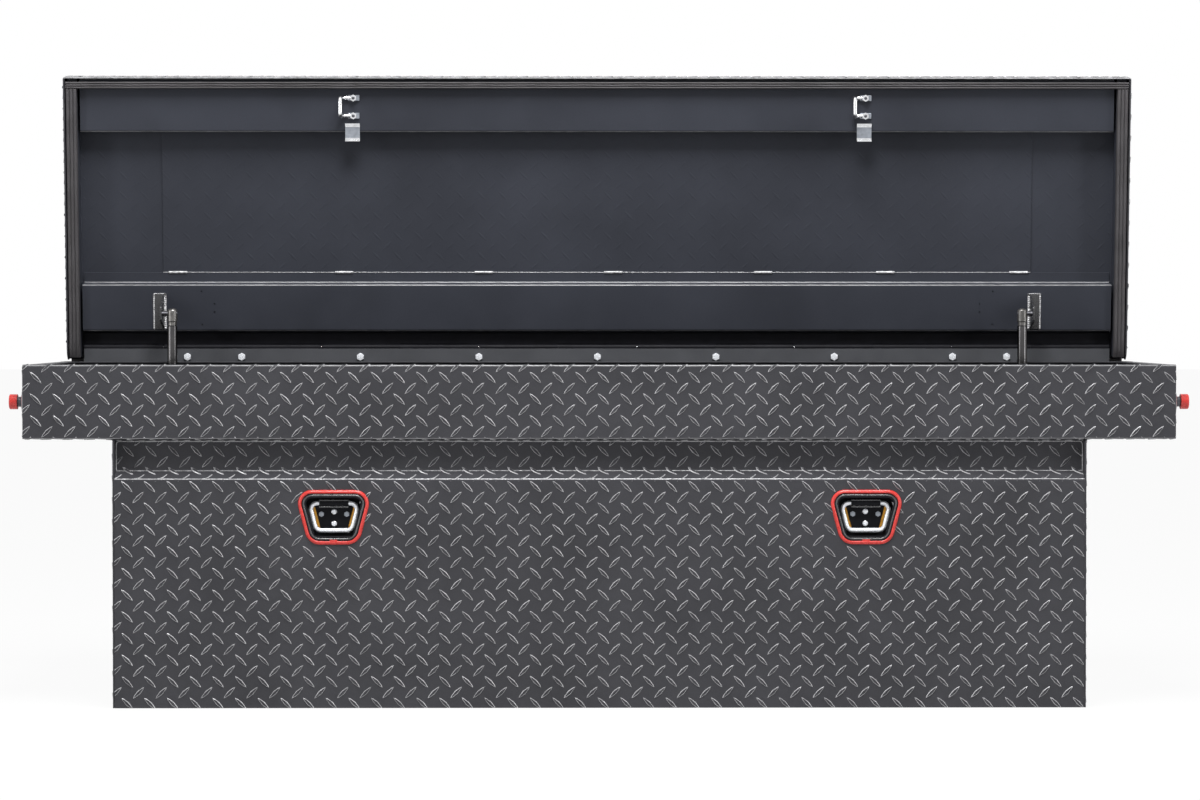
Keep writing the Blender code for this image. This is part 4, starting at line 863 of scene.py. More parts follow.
def add_front_bars():
    """Bars from the rim down the rail, the recess and the ledge to the foot of the front sheet."""
    front = on_fold([
        (FRONT_Y + RIM_FLANGE, RIM_Z), (FRONT_Y, RIM_Z), (FRONT_Y, WING_Z), (RECESS_Y, RECESS_TOP_Z),
        (RECESS_Y, LEDGE_TOP_Z), (FRONT_Y, LEDGE_FOOT_Z), (FRONT_Y, 0),
    ], "X")
    rail_top = RIM_FLANGE - BEND_RADIUS
    rail_foot = RIM_FLANGE + RIM_Z - WING_Z
    recess_top = rail_foot + math.hypot(RECESS_Y - FRONT_Y, WING_Z - RECESS_TOP_Z)
    ledge = math.hypot(RECESS_Y - FRONT_Y, LEDGE_TOP_Z - LEDGE_FOOT_Z)
    ledge_foot = recess_top + RECESS_TOP_Z - LEDGE_TOP_Z + ledge
    bezels = [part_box(f"{name}_tie_bezel") for name, _ in SIDES]
    side_room, end_room = BEZEL_ROOM

    def behind_bezel(u, v):
        z = LEDGE_FOOT_Z - (v - ledge_foot)
        for low, high in bezels:
            beside = low.x + side_room < u < high.x - side_room
            if beside and low.z + end_room < z < high.z - end_room:
                return True
        return False

    sheet_foot = ledge_foot + LEDGE_FOOT_Z
    rail = (-HALF_LENGTH, HALF_LENGTH)
    lower = (-LOWER_HALF, LOWER_HALF)
    add_bars("front_tread_bars", [
        tread_field(rail, (rail_top, rail_foot - BEND_ROOM), front, BAR_PHASE),
        tread_field(lower, (rail_foot + BEND_ROOM, recess_top - BEND_ROOM), front, BAR_PHASE),
        tread_field(lower, (recess_top + BEND_ROOM, ledge_foot - BEND_ROOM), front, BAR_PHASE),
        tread_field(lower, (ledge_foot + BEND_ROOM, sheet_foot), front, BAR_PHASE, behind_bezel),
    ], "box")


def add_back_bars(face):
    back = on_fold([(face, 0), (face, RIM_Z)], "X")
    add_bars("back_tread_bars", [
        tread_field((-LOWER_HALF, LOWER_HALF), (0, WING_Z), back, BAR_PHASE),
        tread_field((-HALF_LENGTH, HALF_LENGTH), (WING_Z, RIM_Z - BEND_RADIUS), back, BAR_PHASE),
    ], "box")


def add_end_bars(name, side, back_face):
    """Bars on an end's wall and wing; the section runs upwards on the right and downwards on the left."""
    corners = ((END_FACE, 0), (END_FACE, WING_Z), (HALF_LENGTH, WING_Z), (HALF_LENGTH, RIM_Z))
    end = on_fold([(side * x, z) for x, z in corners[::side]], "Y")
    wing = HALF_LENGTH - END_FACE
    upper_run = RIM_Z - WING_Z + wing
    lock = middle_of(f"{name}_lock_bezel")
    if side > 0:
        lower, upper = (0, WING_Z), (WING_Z, WING_Z + upper_run - BEND_RADIUS)
        lock_run = wing + lock.z
    else:
        upper, lower = (BEND_RADIUS, upper_run), (upper_run, upper_run + WING_Z)
        lock_run = RIM_Z - lock.z

    def behind_lock(u, v):
        return math.hypot(u - lock.y, v - lock_run) < BEZEL_RADIUS

    add_bars(f"{name}_end_tread_bars", [
        tread_field((FRONT_Y, back_face), lower, end, BAR_PHASE),
        tread_field((FRONT_Y + SHEET, BACK_Y - SHEET), upper, end, BAR_PHASE, behind_lock),
    ], "box")


class SADDLE_OT_box_panels(bpy.types.Operator):
    """Front, back, end and floor sheets with their tread bars"""

    bl_idname = "saddle.box_panels"
    bl_label = "Box Panels"

    def execute(self, context):
        settings = context.scene.saddle_box
        edge = settings.trim.edge_radius
        for node in ("floor_panel", "left_end_panel", "right_end_panel"):
            dress_folded(node, edge)
        add_front_sheet(settings.trim)
        back_face = BACK_Y - settings.tread.bar_height
        back = cad_copy("back_panel")
        for vert in back.verts:
            vert.co.y = min(vert.co.y, back_face)
        stand_for("back_panel", soften(back, edge))
        add_front_bars()
        add_back_bars(back_face)
        for name, side in SIDES:
            add_end_bars(name, side, back_face)
        return {"FINISHED"}


# Lid

class SADDLE_OT_lid_shell(bpy.types.Operator):
    """The lid's tread pan with its bars outside and its plain paint inside"""

    bl_idname = "saddle.lid_shell"
    bl_label = "Lid Shell"

    def execute(self, context):
        settings = context.scene.saddle_box
        front = LID_FRONT + settings.tread.bar_height
        self.add_skin(front + SHEET, settings)

        pan = on_fold([(LID_REAR, LID_TOP), (front, LID_TOP), (front, LID_RIM)], "X", LID_OPEN)
        reach = LID_HALF - BEND_RADIUS
        skirt = LID_TOP - LID_RIM
        fields = [tread_field((-reach, reach), (BEND_RADIUS, LID_REAR - front + skirt), pan)]
        for _, side in SIDES:
            corners = [(side * LID_HALF, LID_TOP), (side * LID_HALF, LID_RIM)][::-side]
            run = (BEND_RADIUS, skirt) if side < 0 else (0, skirt - BEND_RADIUS)
            fields.append(tread_field((LID_FRONT + BEND_RADIUS, 0), run, on_fold(corners, "Y", LID_OPEN)))
        add_bars("lid_tread_bars", fields, "lid")
        return {"FINISHED"}

    def add_skin(self, skirt_back, settings):
        """The pan with its front skirt moved in, to make room for the bars."""
        skin = moved(cad_copy("lid_skin"), LID_OPEN.inverted())
        for vert in skin.verts:
            depth = vert.co.y - LID_FRONT - SHEET
            vert.co.y += settings.tread.bar_height * min(max(1 - depth / BEND_RADIUS, 0), 1)
        skin.normal_update()
        cut(skin, (0, skirt_back, 0), (0, 1, 0))
        for face in skin.faces:
            centre = face.calc_center_median()
            # Black on the rear flange is painted shade in the gap under the rear channel
            if centre.y > LID_FLANGE_FRONT and abs(centre.z) < LID_TOP / 2:
                face.material_index = 2
            elif face.normal.z < -LEVEL and centre.z > LID_TOP / 2:
                face.material_index = 1
            # The front skirt's cut edge takes the light edge finish: partly wear, partly a painted highlight
            elif face.normal.z < -LEVEL and centre.y < skirt_back:
                face.material_index = 3
        soften(skin, settings.trim.edge_radius)
        bmesh.ops.dissolve_degenerate(skin, dist=MERGE, edges=skin.edges)
        stand_for("lid_skin", open_lid(skin), ["tread", "smooth", "black", "edge"])


def bored(bm, holes):
    """A mesh with holes cut for good."""
    objects = [add_object("bored", to_mesh(shape, "bored")) for shape in (bm, holes)]
    boolean = objects[0].modifiers.new("holes", "BOOLEAN")
    boolean.operation = "DIFFERENCE"
    boolean.solver = "EXACT"
    boolean.object = objects[1]
    graph = bpy.context.evaluated_depsgraph_get()
    result = bmesh.new()
    result.from_mesh(objects[0].evaluated_get(graph).to_mesh())
    for obj in objects:
        bpy.data.meshes.remove(obj.data)
    return result


def add_rear_channel(trim):
    """The hat channel with four small holes by each strut."""
    holes = bmesh.new()
    drill = dict(radius1=trim.hole_radius, radius2=trim.hole_radius, depth=4 * SHEET)
    for _, side in SIDES:
        for x, reach in CHANNEL_HOLES:
            place = LID_OPEN @ Matrix.Translation((side * x, -reach, CHANNEL_FACE))
            bmesh.ops.create_cone(holes, cap_ends=True, segments=16, matrix=place, **drill)
    # The channel's bends take the lighter crease finish: partly wear, partly a painted highlight
    channel = paint_bend_wear_and_highlight(bored(cad_copy("lid_rear_channel"), holes))
    soften(channel, trim.edge_radius, wanted=lambda edge: edge.calc_length() > CHANNEL_HALF)
    stand_for("lid_rear_channel", channel, ["smooth", "crease"])


def add_welds(trim):
    """Stitch welds along the doubler's lower edge, and a thin light line between them, a painted highlight on
    the flange's edge.
    """
    welds = bmesh.new()
    half = trim.weld_length / 2
    seam = (-DOUBLER_REACH[0], DOUBLER_FACE)
    for x in STITCH_WELDS:
        pour(weld_bead((x - half, *seam), (x + half, *seam), trim.weld_radius), welds)
    # A thin bright line between the welds: a painted highlight on the flange's edge
    ends = [(side * DOUBLER_HALF, *seam) for _, side in SIDES]
    pour(bent_wire(ends, trim.edge_radius, [], sides=8), welds)
    add_piece("lid_stitch_welds", open_lid(welds), ["weld"], "lid", "smooth")


def add_print(height):
    """The tread's faint print on the doubler and on the bare sheet beside it."""
    def under(ceiling):
        return lambda u, v, h: LID_OPEN @ Vector((u, -v, ceiling - h))

    prints = tread_field((-DOUBLER_HALF, DOUBLER_HALF), DOUBLER_REACH, under(DOUBLER_FACE), height=height)
    for _, side in SIDES:
        across = sorted((side * (DOUBLER_HALF + SHEET), side * CHANNEL_HALF))
        pour(tread_field(across, DOUBLER_REACH, under(LID_CEILING), height=height), prints)
    add_piece("lid_tread_print", paint(prints, 0), ["smooth"], "lid", "smooth")


class SADDLE_OT_lid_lining(bpy.types.Operator):
    """Channels and doubler sheet inside the lid, stitch welds and the tread's faint print"""

    bl_idname = "saddle.lid_lining"
    bl_label = "Lid Lining"

    def execute(self, context):
        settings = context.scene.saddle_box
        for part in ("front_channel", "left_channel", "right_channel", "doubler"):
            dress_folded(f"lid_{part}", settings.trim.edge_radius)
        add_rear_channel(settings.trim)
        add_welds(settings.trim)
        add_print(settings.tread.print_height)
        return {"FINISHED"}


def ribbed(width, length, trim):
    """A seal along Y with its ribs upwards, drawn down to a flat base."""
    bm = bmesh.new()
    bmesh.ops.create_grid(bm, x_segments=RIB_STEPS * RIBS, y_segments=round(length / SEAL_STEP), size=0.5)
    bmesh.ops.scale(bm, vec=(width, length, 1), verts=bm.verts)
    for vert in bm.verts:
        across = vert.co.x / width + 0.5
        crown = abs(math.sin(math.pi * RIBS * across)) ** RIB_FULLNESS
        vert.co.z = SEAL_BASE - SEAL_CROWN - trim.rib_height * (1 - crown)
        inside = 1 - abs(2 * across - 1)
        vert.co.x += inside * trim.seal_sway * math.sin(math.tau * vert.co.y / SEAL_WANDER)
    bmesh.ops.scale(bm, vec=(1, 1, 0), verts=thicken(bm))
    return outward(bm)


class SADDLE_OT_seals(bpy.types.Operator):
    """Ribbed rubber seals round the lid, and pads on the rim's rear corners"""

    bl_idname = "saddle.seals"
    bl_label = "Seals"

    def execute(self, context):
        trim = context.scene.saddle_box.trim
        turn = Matrix.Rotation(math.pi, 4, "Y")
        width, length = [high - low for low, high in (SIDE_SEAL_X, SIDE_SEAL_Y)]
        for name, side in SIDES:
            middle = (side * sum(SIDE_SEAL_X) / 2, sum(SIDE_SEAL_Y) / 2, SEAL_BASE)
            seal = moved(ribbed(width, length, trim), Matrix.Translation(middle) @ turn)
            for vert in seal.verts:
                if vert.co.y > 0:
                    vert.co.z = max(vert.co.z, -math.sqrt(SEAL_CROWN ** 2 - vert.co.y ** 2))
            stand_for(f"lid_{name}_seal", open_lid(seal))
            low, high = zip(sorted(side * x for x in PAD_X), PAD_Y, (RIM_Z, RIM_Z + PAD_HEIGHT))
            pad = block(low, high, trim.part_radius)
            add_piece(f"{name}_corner_pad", pad, ["rubber"], "box", "rubber")
        seal = ribbed(FRONT_SEAL_Y[1] - FRONT_SEAL_Y[0], 2 * SIDE_SEAL_X[1], trim)
        place = LID_OPEN @ Matrix.Translation((0, sum(FRONT_SEAL_Y) / 2, SEAL_BASE)) @ turn
        stand_for("lid_front_seal", moved(seal, place @ Matrix.Rotation(QUARTER, 4, "Z")))
        return {"FINISHED"}


# Fittings

class SADDLE_OT_hinge(bpy.types.Operator):
    """Hinge rail, leaves, pin and the row of bolts"""

    bl_idname = "saddle.hinge"
    bl_label = "Hinge"

    def execute(self, context):
        trim = context.scene.saddle_box.trim
        edge = trim.edge_radius
        dress_solid("hinge_rail", trim.part_radius, "strip")
        dress_solid("hinge_pin", trim.part_radius)
        # The lid leaf is black as painted shade
        dress_solid("hinge_lid_leaf", edge, "black")
        low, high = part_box("hinge_body_leaf")
        seat = HINGE.y - KNUCKLE_RADIUS
        face = seat - LEAF
        foot = low.z - LEAF_SKIRT
        top = HINGE.z - KNUCKLE_RADIUS - FIT_GAP
        leaf = block((low.x, face, foot), (high.x, seat - FIT_GAP, top + STRIP_RISE), edge)
        pour(block((low.x, seat - 2 * FIT_GAP, foot), (high.x, seat + LEAF, top), edge), leaf)

        pitch = (high.x - low.x) / KNUCKLES
        width = pitch - FIT_GAP
        tube = [(KNUCKLE_BORE, 0), (KNUCKLE_RADIUS, 0), (KNUCKLE_RADIUS, width), (KNUCKLE_BORE, width)]
        knuckle = turned(tube, facing((low.x, HINGE.y, HINGE.z), (1, 0, 0)), closed=True, steps=24)
        pour(block((low.x, seat, top - LEAF), (low.x + width, seat + LEAF, HINGE.z), edge), knuckle)
        # The knuckles are black as painted shade
        pour(repeat(knuckle, (2 * pitch, 0, 0), KNUCKLES // 2), leaf, 2)

        for x in sorted({side * place for place in HINGE_BOLTS for side in (-1, 1)}):
            pour(hex_head(facing((x, face, HINGE_BOLT_Z), (0, -1, 0)), *HINGE_BOLT_SIZES), leaf, 1)
        stand_for("hinge_body_leaf", leaf, ["strip", "ring", "black"])
        return {"FINISHED"}


def add_striker(name, side, trim):
    """The bent wire with a flat pad, a nut and a stud end on each foot."""
    x = side * STRIKER_X
    seat = CHANNEL_FACE - FIT_GAP
    face = seat - STRIKER_PAD
    foot = seat - trim.striker_wire
    leg = [(x + STRIKER_FOOT, foot), (x, foot), (x, STRIKER_BAR)]
    points = [(x, STRIKER_NEAR, z) for x, z in leg] + [(x, STRIKER_FAR, z) for x, z in leg[::-1]]
    striker = bent_wire(points, trim.striker_wire, [STRIKER_BEND] * 4)
    for y in (STRIKER_NEAR, STRIKER_FAR):
        low = (x + STRIKER_PAD_X[0], y - STRIKER_PAD_HALF, face)
        high = (x + STRIKER_PAD_X[1], y + STRIKER_PAD_HALF, seat)
        pour(block(low, high, trim.part_radius, 3), striker, 2)
        place = facing((x + STRIKER_NUT, y, face), (0, 0, -1))
        pour(hex_head(place, *STRIKER_NUT_SIZES), striker)
        stud = place @ Matrix.Translation((0, 0, STRIKER_NUT_SIZES[1]))
        pour(round_head(stud, STRIKER_STUD, STRIKER_STUD / 2), striker, 1)
    stand_for(f"{name}_striker", open_lid(striker), ["zinc", "steel", "dull"])


def add_guide(node, trim):
    """The plate with a dull face between its bright bent edges."""
    low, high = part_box(node)
    middle = (low.x + high.x) / 2
    bands = (low.z + GUIDE_BANDS[0], high.z - GUIDE_BANDS[1])
    plate = cad_copy(node)
    for vert in plate.verts:
        vert.co.x = middle + GUIDE_SHIFT + (vert.co.x - middle) * GUIDE_SHARE
    for z in bands:
        cut(plate, (0, 0, z), (0, 0, 1))
    soften(plate, trim.part_radius)
    for face in plate.faces:
        face.material_index = 1 if bands[0] < face.calc_center_median().z < bands[1] else 0
    stand_for(node, plate, ["zinc", "dull"])


class SADDLE_OT_strikers(bpy.types.Operator):
    """Bent wire strikers with their nuts, and the guide plates"""

    bl_idname = "saddle.strikers"
    bl_label = "Strikers"

    def execute(self, context):
        trim = context.scene.saddle_box.trim
        for name, side in SIDES:
            add_striker(name, side, trim)
            add_guide(f"{name}_guide_plate", trim)
        return {"FINISHED"}


def add_bracket(name, side, trim):
    """The lid bracket with its ball stud and a weld on three sides of its foot."""
    bracket = cad_copy(f"{name}_lid_bracket")
    (inner, outer), (top, foot) = BRACKET_X, BRACKET_Y
    for face in bracket.faces:
        if abs(face.calc_center_median().x) < inner:
            face.material_index = 1
    soften(bracket, trim.edge_radius)
    path = ((outer, foot), (outer, top), (inner, top), (inner, foot))
    corners = [(side * x, y, CHANNEL_FACE) for x, y in path]
    for start, end in zip(corners, corners[1:]):
        pour(open_lid(weld_bead(start, end, BRACKET_WELD * trim.weld_radius)), bracket, 2)
    stand_for(f"{name}_lid_bracket", bracket, ["lip", "steel", "weld"])


def add_socket(name):
    """A rounded end fitting with a ferrule at its foot."""
    node = f"{name}_strut_socket"
    middle = middle_of(node)
    place = facing((middle.x, middle.y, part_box(node)[1].z - SOCKET_TOP), (0, 0, 1))
    profile = [
        (0, SOCKET_FOOT), (FERRULE_RADIUS, SOCKET_FOOT),
        (FERRULE_RADIUS, FERRULE_TOP[0]), (SOCKET_RADIUS, FERRULE_TOP[1]),
        *arc((0, SOCKET_SHOULDER), (SOCKET_RADIUS, SOCKET_TOP - SOCKET_SHOULDER))[:-1],
        (0, SOCKET_TOP),
    ]
    stand_for(node, turned(profile, place), ["fitting"])


def add_tube(name):
    """A tube with a rolled top and a crimp near its foot."""
    node = f"{name}_strut_cylinder"
    low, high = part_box(node)
    middle = middle_of(node)
    foot = low.z - high.z
    crimp = foot + TUBE_CRIMP
    waist = TUBE_RADIUS - TUBE_ROLL
    profile = [
        (TUBE_BORE, 0), (waist, 0), (TUBE_RADIUS, -TUBE_ROLL),
        (TUBE_RADIUS, crimp), (waist, crimp - TUBE_ROLL),
        (waist, crimp - 2 * TUBE_ROLL), (TUBE_RADIUS, crimp - 3 * TUBE_ROLL),
        (TUBE_RADIUS, foot + TUBE_ROLL), (waist, foot), (TUBE_BORE, foot),
    ]
    place = facing((middle.x, middle.y, high.z), (0, 0, 1))
    stand_for(node, turned(profile, place, closed=True), ["tube"])


class SADDLE_OT_struts(bpy.types.Operator):
    """Lid brackets with their welds, strut sockets, tubes, rods and feet"""

    bl_idname = "saddle.struts"
    bl_label = "Struts"

    def execute(self, context):
        trim = context.scene.saddle_box.trim
        for name, side in SIDES:
            add_bracket(name, side, trim)
            add_socket(name)
            add_tube(name)
            dress_solid(f"{name}_strut_rod", trim.edge_radius)
            dress_solid(f"{name}_strut_foot", trim.part_radius)
        return {"FINISHED"}


class SADDLE_OT_locks(bpy.types.Operator):
    """Domed bezels, push buttons, key plugs, nuts and release rods"""

    bl_idname = "saddle.locks"
    bl_label = "Locks"

    def execute(self, context):
        trim = context.scene.saddle_box.trim
        crown = (BEZEL_RADIUS - NECK_BORE - BEZEL_EDGE, BEZEL_RISE - BEZEL_EDGE)
        bezel = [
            (STEM_BORE, -BARREL_LENGTH), (BARREL_RADIUS, -BARREL_LENGTH),
            (BARREL_RADIUS, FIT_GAP), (BEZEL_RADIUS, FIT_GAP),
            *arc((NECK_BORE + BEZEL_EDGE, BEZEL_EDGE), crown),
            (NECK_BORE, BEZEL_RISE), (NECK_BORE, NECK_FLOOR), (STEM_BORE, NECK_FLOOR),
        ]
        button = [
            (0, BUTTON_BACK), (BUTTON_RADIUS, BUTTON_BACK),
            *arc((BUTTON_RADIUS - BUTTON_RIM, BUTTON_FRONT - BUTTON_RIM), (BUTTON_RIM, BUTTON_RIM)),
            (PLUG_BORE, BUTTON_FRONT), (PLUG_BORE, PLUG_FLOOR), (0, PLUG_FLOOR),
        ]
        for name, side in SIDES:
            middle = middle_of(f"{name}_lock_bezel")
            place = facing((side * HALF_LENGTH, middle.y, middle.z), (side, 0, 0))
            stand_for(f"{name}_lock_bezel", turned(bezel, place, closed=True))
            stand_for(f"{name}_push_button", turned(button, place))
            for part in ("lock_nut", "key_plug", "release_rod"):
                dress_solid(f"{name}_{part}", trim.edge_radius)
        return {"FINISHED"}


class SADDLE_OT_latches(bpy.types.Operator):
    """Latch housings, claws and pawls behind the rail"""

    bl_idname = "saddle.latches"
    bl_label = "Latches"

    def execute(self, context):
        for name, _ in SIDES:
            for part in ("housing", "claw", "pawl"):
                dress_solid(f"{name}_latch_{part}", context.scene.saddle_box.trim.edge_radius)
        return {"FINISHED"}


# Tie-downs

def tapered(middle, y, top, foot):
    """Corners of an outline from its (half width, height) at the top and at the foot, about its middle."""
    (wide, high), (narrow, low) = top, foot
    outline = [(-narrow, low), (narrow, low), (wide, high), (-wide, high)]
    return [(middle.x + x, y, middle.z + z) for x, z in outline]


def tie_wire(middle, half, inset, y, radius, **options):
    """A wire round the tie-down's tapered outline, moved inwards."""
    half_corner = (QUARTER - TIE_SLOPE) / 2
    top = half.x + TIE_TOP_RADIUS * (1 / math.tan(half_corner) - 1)
    foot = top - 2 * half.z * math.tan(TIE_SLOPE)
    lean = inset * math.tan(TIE_SLOPE)
    side = inset / math.cos(TIE_SLOPE)
    high = half.z - inset
    points = tapered(middle, y, (top - side - lean, high), (foot - side + lean, -high))
    bends = [TIE_BOTTOM_RADIUS - inset] * 2 + [TIE_TOP_RADIUS - inset] * 2
    return bent_wire(points, radius, bends, closed=True, **options)


def add_bezel(name, middle, half, trim):
    """The rounded band with a small release tab at its foot."""
    seat = middle.y + half.y
    bezel = tie_wire(middle, half, BAND / 2, seat, BAND / 2, steps=10, depth=2 * half.y, lean=BAND_LEAN)
    for vert in bezel.verts:
        vert.co.y = min(vert.co.y, seat)
    place = Vector((middle.x, middle.y, middle.z - half.z + BAND))
    pour(block(place - RELEASE_TAB, place + RELEASE_TAB, trim.part_radius, 3), bezel)
    stand_for(f"{name}_tie_bezel", bezel)


def add_tray(name, middle, half, trim):
    """The moulded cup with a round ridge on its lip."""
    tray = soften(cad_copy(f"{name}_tie_tray"), trim.part_radius, 3)
    ridge = trim.lip_ridge
    pour(tie_wire(middle, half, BAND + 2 * ridge, middle.y - half.y + FIT_GAP + ridge, ridge), tray, 1)
    stand_for(f"{name}_tie_tray", tray, ["black", "lip"])


def add_plate(name, middle, trim):
    """The base plate with round bolts up its middle and hex bolts beside them."""
    plate = bmesh.new()
    plate.faces.new([plate.verts.new(corner) for corner in tapered(middle, PLATE_Y, PLATE_TOP, PLATE_FOOT)])
    shape = dict(offset_type="OFFSET", segments=6, profile=0.5, affect="VERTICES", material=-1)
    bmesh.ops.bevel(plate, geom=plate.verts[:], offset=PLATE_CORNER, **shape)
    bmesh.ops.translate(plate, vec=(0, PLATE_THICKNESS, 0), verts=thicken(plate))
    soften(outward(plate), trim.edge_radius)
    for x, z in ROUND_BOLTS + HEX_BOLTS:
        place = facing((middle.x + x, PLATE_Y, middle.z + z), (0, -1, 0))
        if (x, z) in ROUND_BOLTS:
            pour(round_head(place, TIE_BOLT_RADIUS, TIE_BOLT_HEAD), plate, 1)
        else:
            pour(hex_head(place, 2 * TIE_BOLT_RADIUS, TIE_BOLT_HEAD), plate, 2)
    stand_for(f"{name}_tie_plate", plate, ["black", "ring", "dull"])


def add_ring(name, middle, trim):
    """The tapered wire ring and the sleeve that it swings in."""
    y = middle_of(f"{name}_tie_ring").y
    z = middle.z + RING_TOP[1]
    points = tapered(middle, y, RING_TOP, RING_FOOT)
    ring = bent_wire(points, trim.ring_wire, [RING_CORNER] * 4, steps=8, closed=True)
    stand_for(f"{name}_tie_ring", ring, ["ring"])
    edge = trim.part_radius
    length = 2 * SLEEVE_HALF
    profile = [
        (SLEEVE_BORE, 0), (SLEEVE_RADIUS - edge, 0), (SLEEVE_RADIUS, edge),
        (SLEEVE_RADIUS, length - edge), (SLEEVE_RADIUS - edge, length), (SLEEVE_BORE, length),
    ]
    sleeve = turned(profile, facing((middle.x - SLEEVE_HALF, y, z), (1, 0, 0)), closed=True)
    for rise in SLEEVE_RIDGES:
        ends = [(middle.x + side * SLEEVE_HALF, y - RIDGE_PROUD, z + rise) for _, side in SIDES]
        pour(bent_wire(ends, trim.lip_ridge, []), sleeve, 1)
    stand_for(f"{name}_tie_sleeve", sleeve, ["black", "lip"])


class SADDLE_OT_tie_downs(bpy.types.Operator):
    """Red bezels, moulded trays, backing plates, base plates with bolts, sleeves and rings"""

    bl_idname = "saddle.tie_downs"
    bl_label = "Tie-Downs"

    def execute(self, context):
        trim = context.scene.saddle_box.trim
        for name, _ in SIDES:
            low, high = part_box(f"{name}_tie_bezel")
            middle = (low + high) / 2
            half = (high - low) / 2
            add_bezel(name, middle, half, trim)
            add_tray(name, middle, half, trim)
            dress_solid(f"{name}_tie_backing", trim.edge_radius)
            add_plate(name, middle, trim)
            add_ring(name, middle, trim)
        return {"FINISHED"}


# Studio

def seen_rays(tree):
    """One for the rays that show the background itself, in metal and glass too."""
    rays = add_node(tree, "LightPath", {}).outputs
    seen = rays["Is Camera Ray"]
    for kind in ("Is Glossy Ray", "Is Transmission Ray"):
        seen = add_node(tree, "Math", {0: seen, 1: rays[kind]}, operation="MAXIMUM").outputs["Value"]
    return seen


def blend(tree, output, share, first, second):
    """Sends a mix of two shaders to an output."""
    mix = add_node(tree, "MixShader", {"Fac": share, 1: first.outputs[0], 2: second.outputs[0]})
    fill(tree, tree.nodes[output], {"Surface": mix.outputs["Shader"]})


def add_floor(studio):
    """A plain disc that shows nearly white, with the box's soft shadow on it."""
    bm = bmesh.new()
    bmesh.ops.create_circle(bm, cap_ends=True, segments=96, radius=FLOOR_RADIUS)
    bmesh.ops.translate(bm, vec=(0, 0, FLOOR_Z), verts=bm.verts)
    mesh = to_mesh(bm, "floor")
    floor = add_object("floor", mesh)
    material = bpy.data.materials.new("floor")
    material.use_nodes = True
    tree = material.node_tree
    matt = {"Base Color": (*studio.floor, 1), "Roughness": FLOOR_ROUGHNESS, "Specular IOR Level": 0}
    shader = fill(tree, tree.nodes["Principled BSDF"], matt)
    share = add_node(tree, "Math", {0: seen_rays(tree), 1: FLOOR_WHITE}, operation="MULTIPLY")
    white = add_node(tree, "Emission", {"Strength": 1})
    blend(tree, "Material Output", share.outputs["Value"], shader, white)
    mesh.materials.append(material)


def add_world(scene, studio):
    """Low light all round, and plain white where the background itself is seen."""
    scene.world = bpy.data.worlds.new("studio")
    scene.world.use_nodes = True
    tree = scene.world.node_tree
    plain = (1, 1, 1, 1)
    ground = fill(tree, tree.nodes["Background"], {"Color": plain, "Strength": studio.ambient})
    white = add_node(tree, "Background", {"Color": plain, "Strength": 1})
    blend(tree, "World Output", seen_rays(tree), ground, white)


def add_softbox(name, place, size, power):
    light = bpy.data.lights.new(name, "AREA")
    light.energy = power
    light.shape = "RECTANGLE"
    light.size, light.size_y = size
    lamp = add_object(name, light)
    lamp.location = place
    lamp.rotation_euler = (AIM - Vector(place)).to_track_quat("-Z", "Y").to_euler()


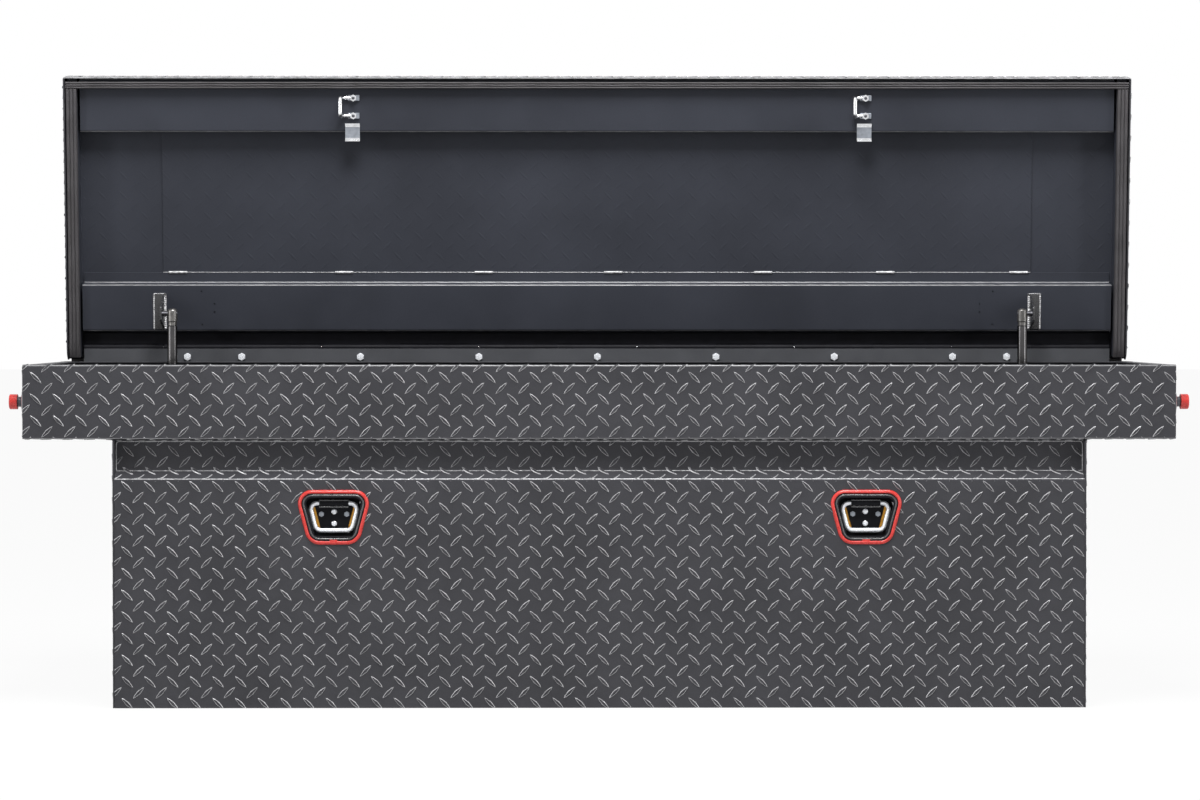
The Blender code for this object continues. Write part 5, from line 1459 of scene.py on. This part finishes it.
class SADDLE_OT_studio(bpy.types.Operator):
    """Pale floor, soft lights and the camera"""

    bl_idname = "saddle.studio"
    bl_label = "Studio"

    def execute(self, context):
        scene = context.scene
        studio = scene.saddle_box.studio
        scene.view_settings.view_transform = "Standard"
        add_floor(studio)
        add_world(scene, studio)
        x, y, z = SIDE_LIGHT
        for name, side in SIDES:
            add_softbox(f"{name}_softbox", (side * x, y, z), SIDE_SIZE, studio.side_power)
        add_softbox("top_softbox", TOP_LIGHT, TOP_SIZE, studio.top_power)
        add_softbox("front_softbox", FRONT_LIGHT, FRONT_SIZE, studio.front_power)
        lens = bpy.data.cameras.new("camera")
        lens.lens = studio.lens
        lens.sensor_width = SENSOR
        lens.sensor_fit = "HORIZONTAL"
        camera = add_object("camera", lens)
        camera.location = studio.camera_place
        camera.rotation_euler = (QUARTER - studio.camera_tilt, 0, -studio.camera_turn)
        scene.camera = camera
        return {"FINISHED"}


OPERATORS = (
    SADDLE_OT_box_panels,
    SADDLE_OT_lid_shell,
    SADDLE_OT_lid_lining,
    SADDLE_OT_seals,
    SADDLE_OT_hinge,
    SADDLE_OT_strikers,
    SADDLE_OT_struts,
    SADDLE_OT_locks,
    SADDLE_OT_latches,
    SADDLE_OT_tie_downs,
    SADDLE_OT_studio,
)


class SADDLE_PT_sidebar(bpy.types.Panel):
    """Lists the steps that dress the box"""

    bl_idname = "SADDLE_PT_sidebar"
    bl_label = "Saddle Box"
    bl_space_type = "VIEW_3D"
    bl_region_type = "UI"
    bl_category = "Saddle Box"

    def draw(self, context):
        for operator in OPERATORS:
            self.layout.operator(operator.bl_idname)
        settings = context.scene.saddle_box
        for group in (settings.tread, settings.trim, settings.colours, settings.studio):
            for name in group.bl_rna.properties.keys():
                if name not in ("rna_type", "name"):
                    self.layout.prop(group, name)


CLASSES = (
    TreadSizes,
    TrimSizes,
    FinishColours,
    StudioSettings,
    SaddleBoxSettings,
    *OPERATORS,
    SADDLE_PT_sidebar,
)


def register():
    for cls in CLASSES:
        bpy.utils.register_class(cls)
    bpy.types.Scene.saddle_box = PointerProperty(type=SaddleBoxSettings)


def unregister():
    del bpy.types.Scene.saddle_box
    for cls in reversed(CLASSES):
        bpy.utils.unregister_class(cls)


def main():
    register()
    FINISHES.update(make_finishes(bpy.context.scene.saddle_box.colours))
    bpy.ops.saddle.box_panels()
    bpy.ops.saddle.lid_shell()
    bpy.ops.saddle.lid_lining()
    bpy.ops.saddle.seals()
    bpy.ops.saddle.hinge()
    bpy.ops.saddle.strikers()
    bpy.ops.saddle.struts()
    bpy.ops.saddle.locks()
    bpy.ops.saddle.latches()
    bpy.ops.saddle.tie_downs()
    bpy.ops.saddle.studio()


if __name__ == "__main__":
    main()
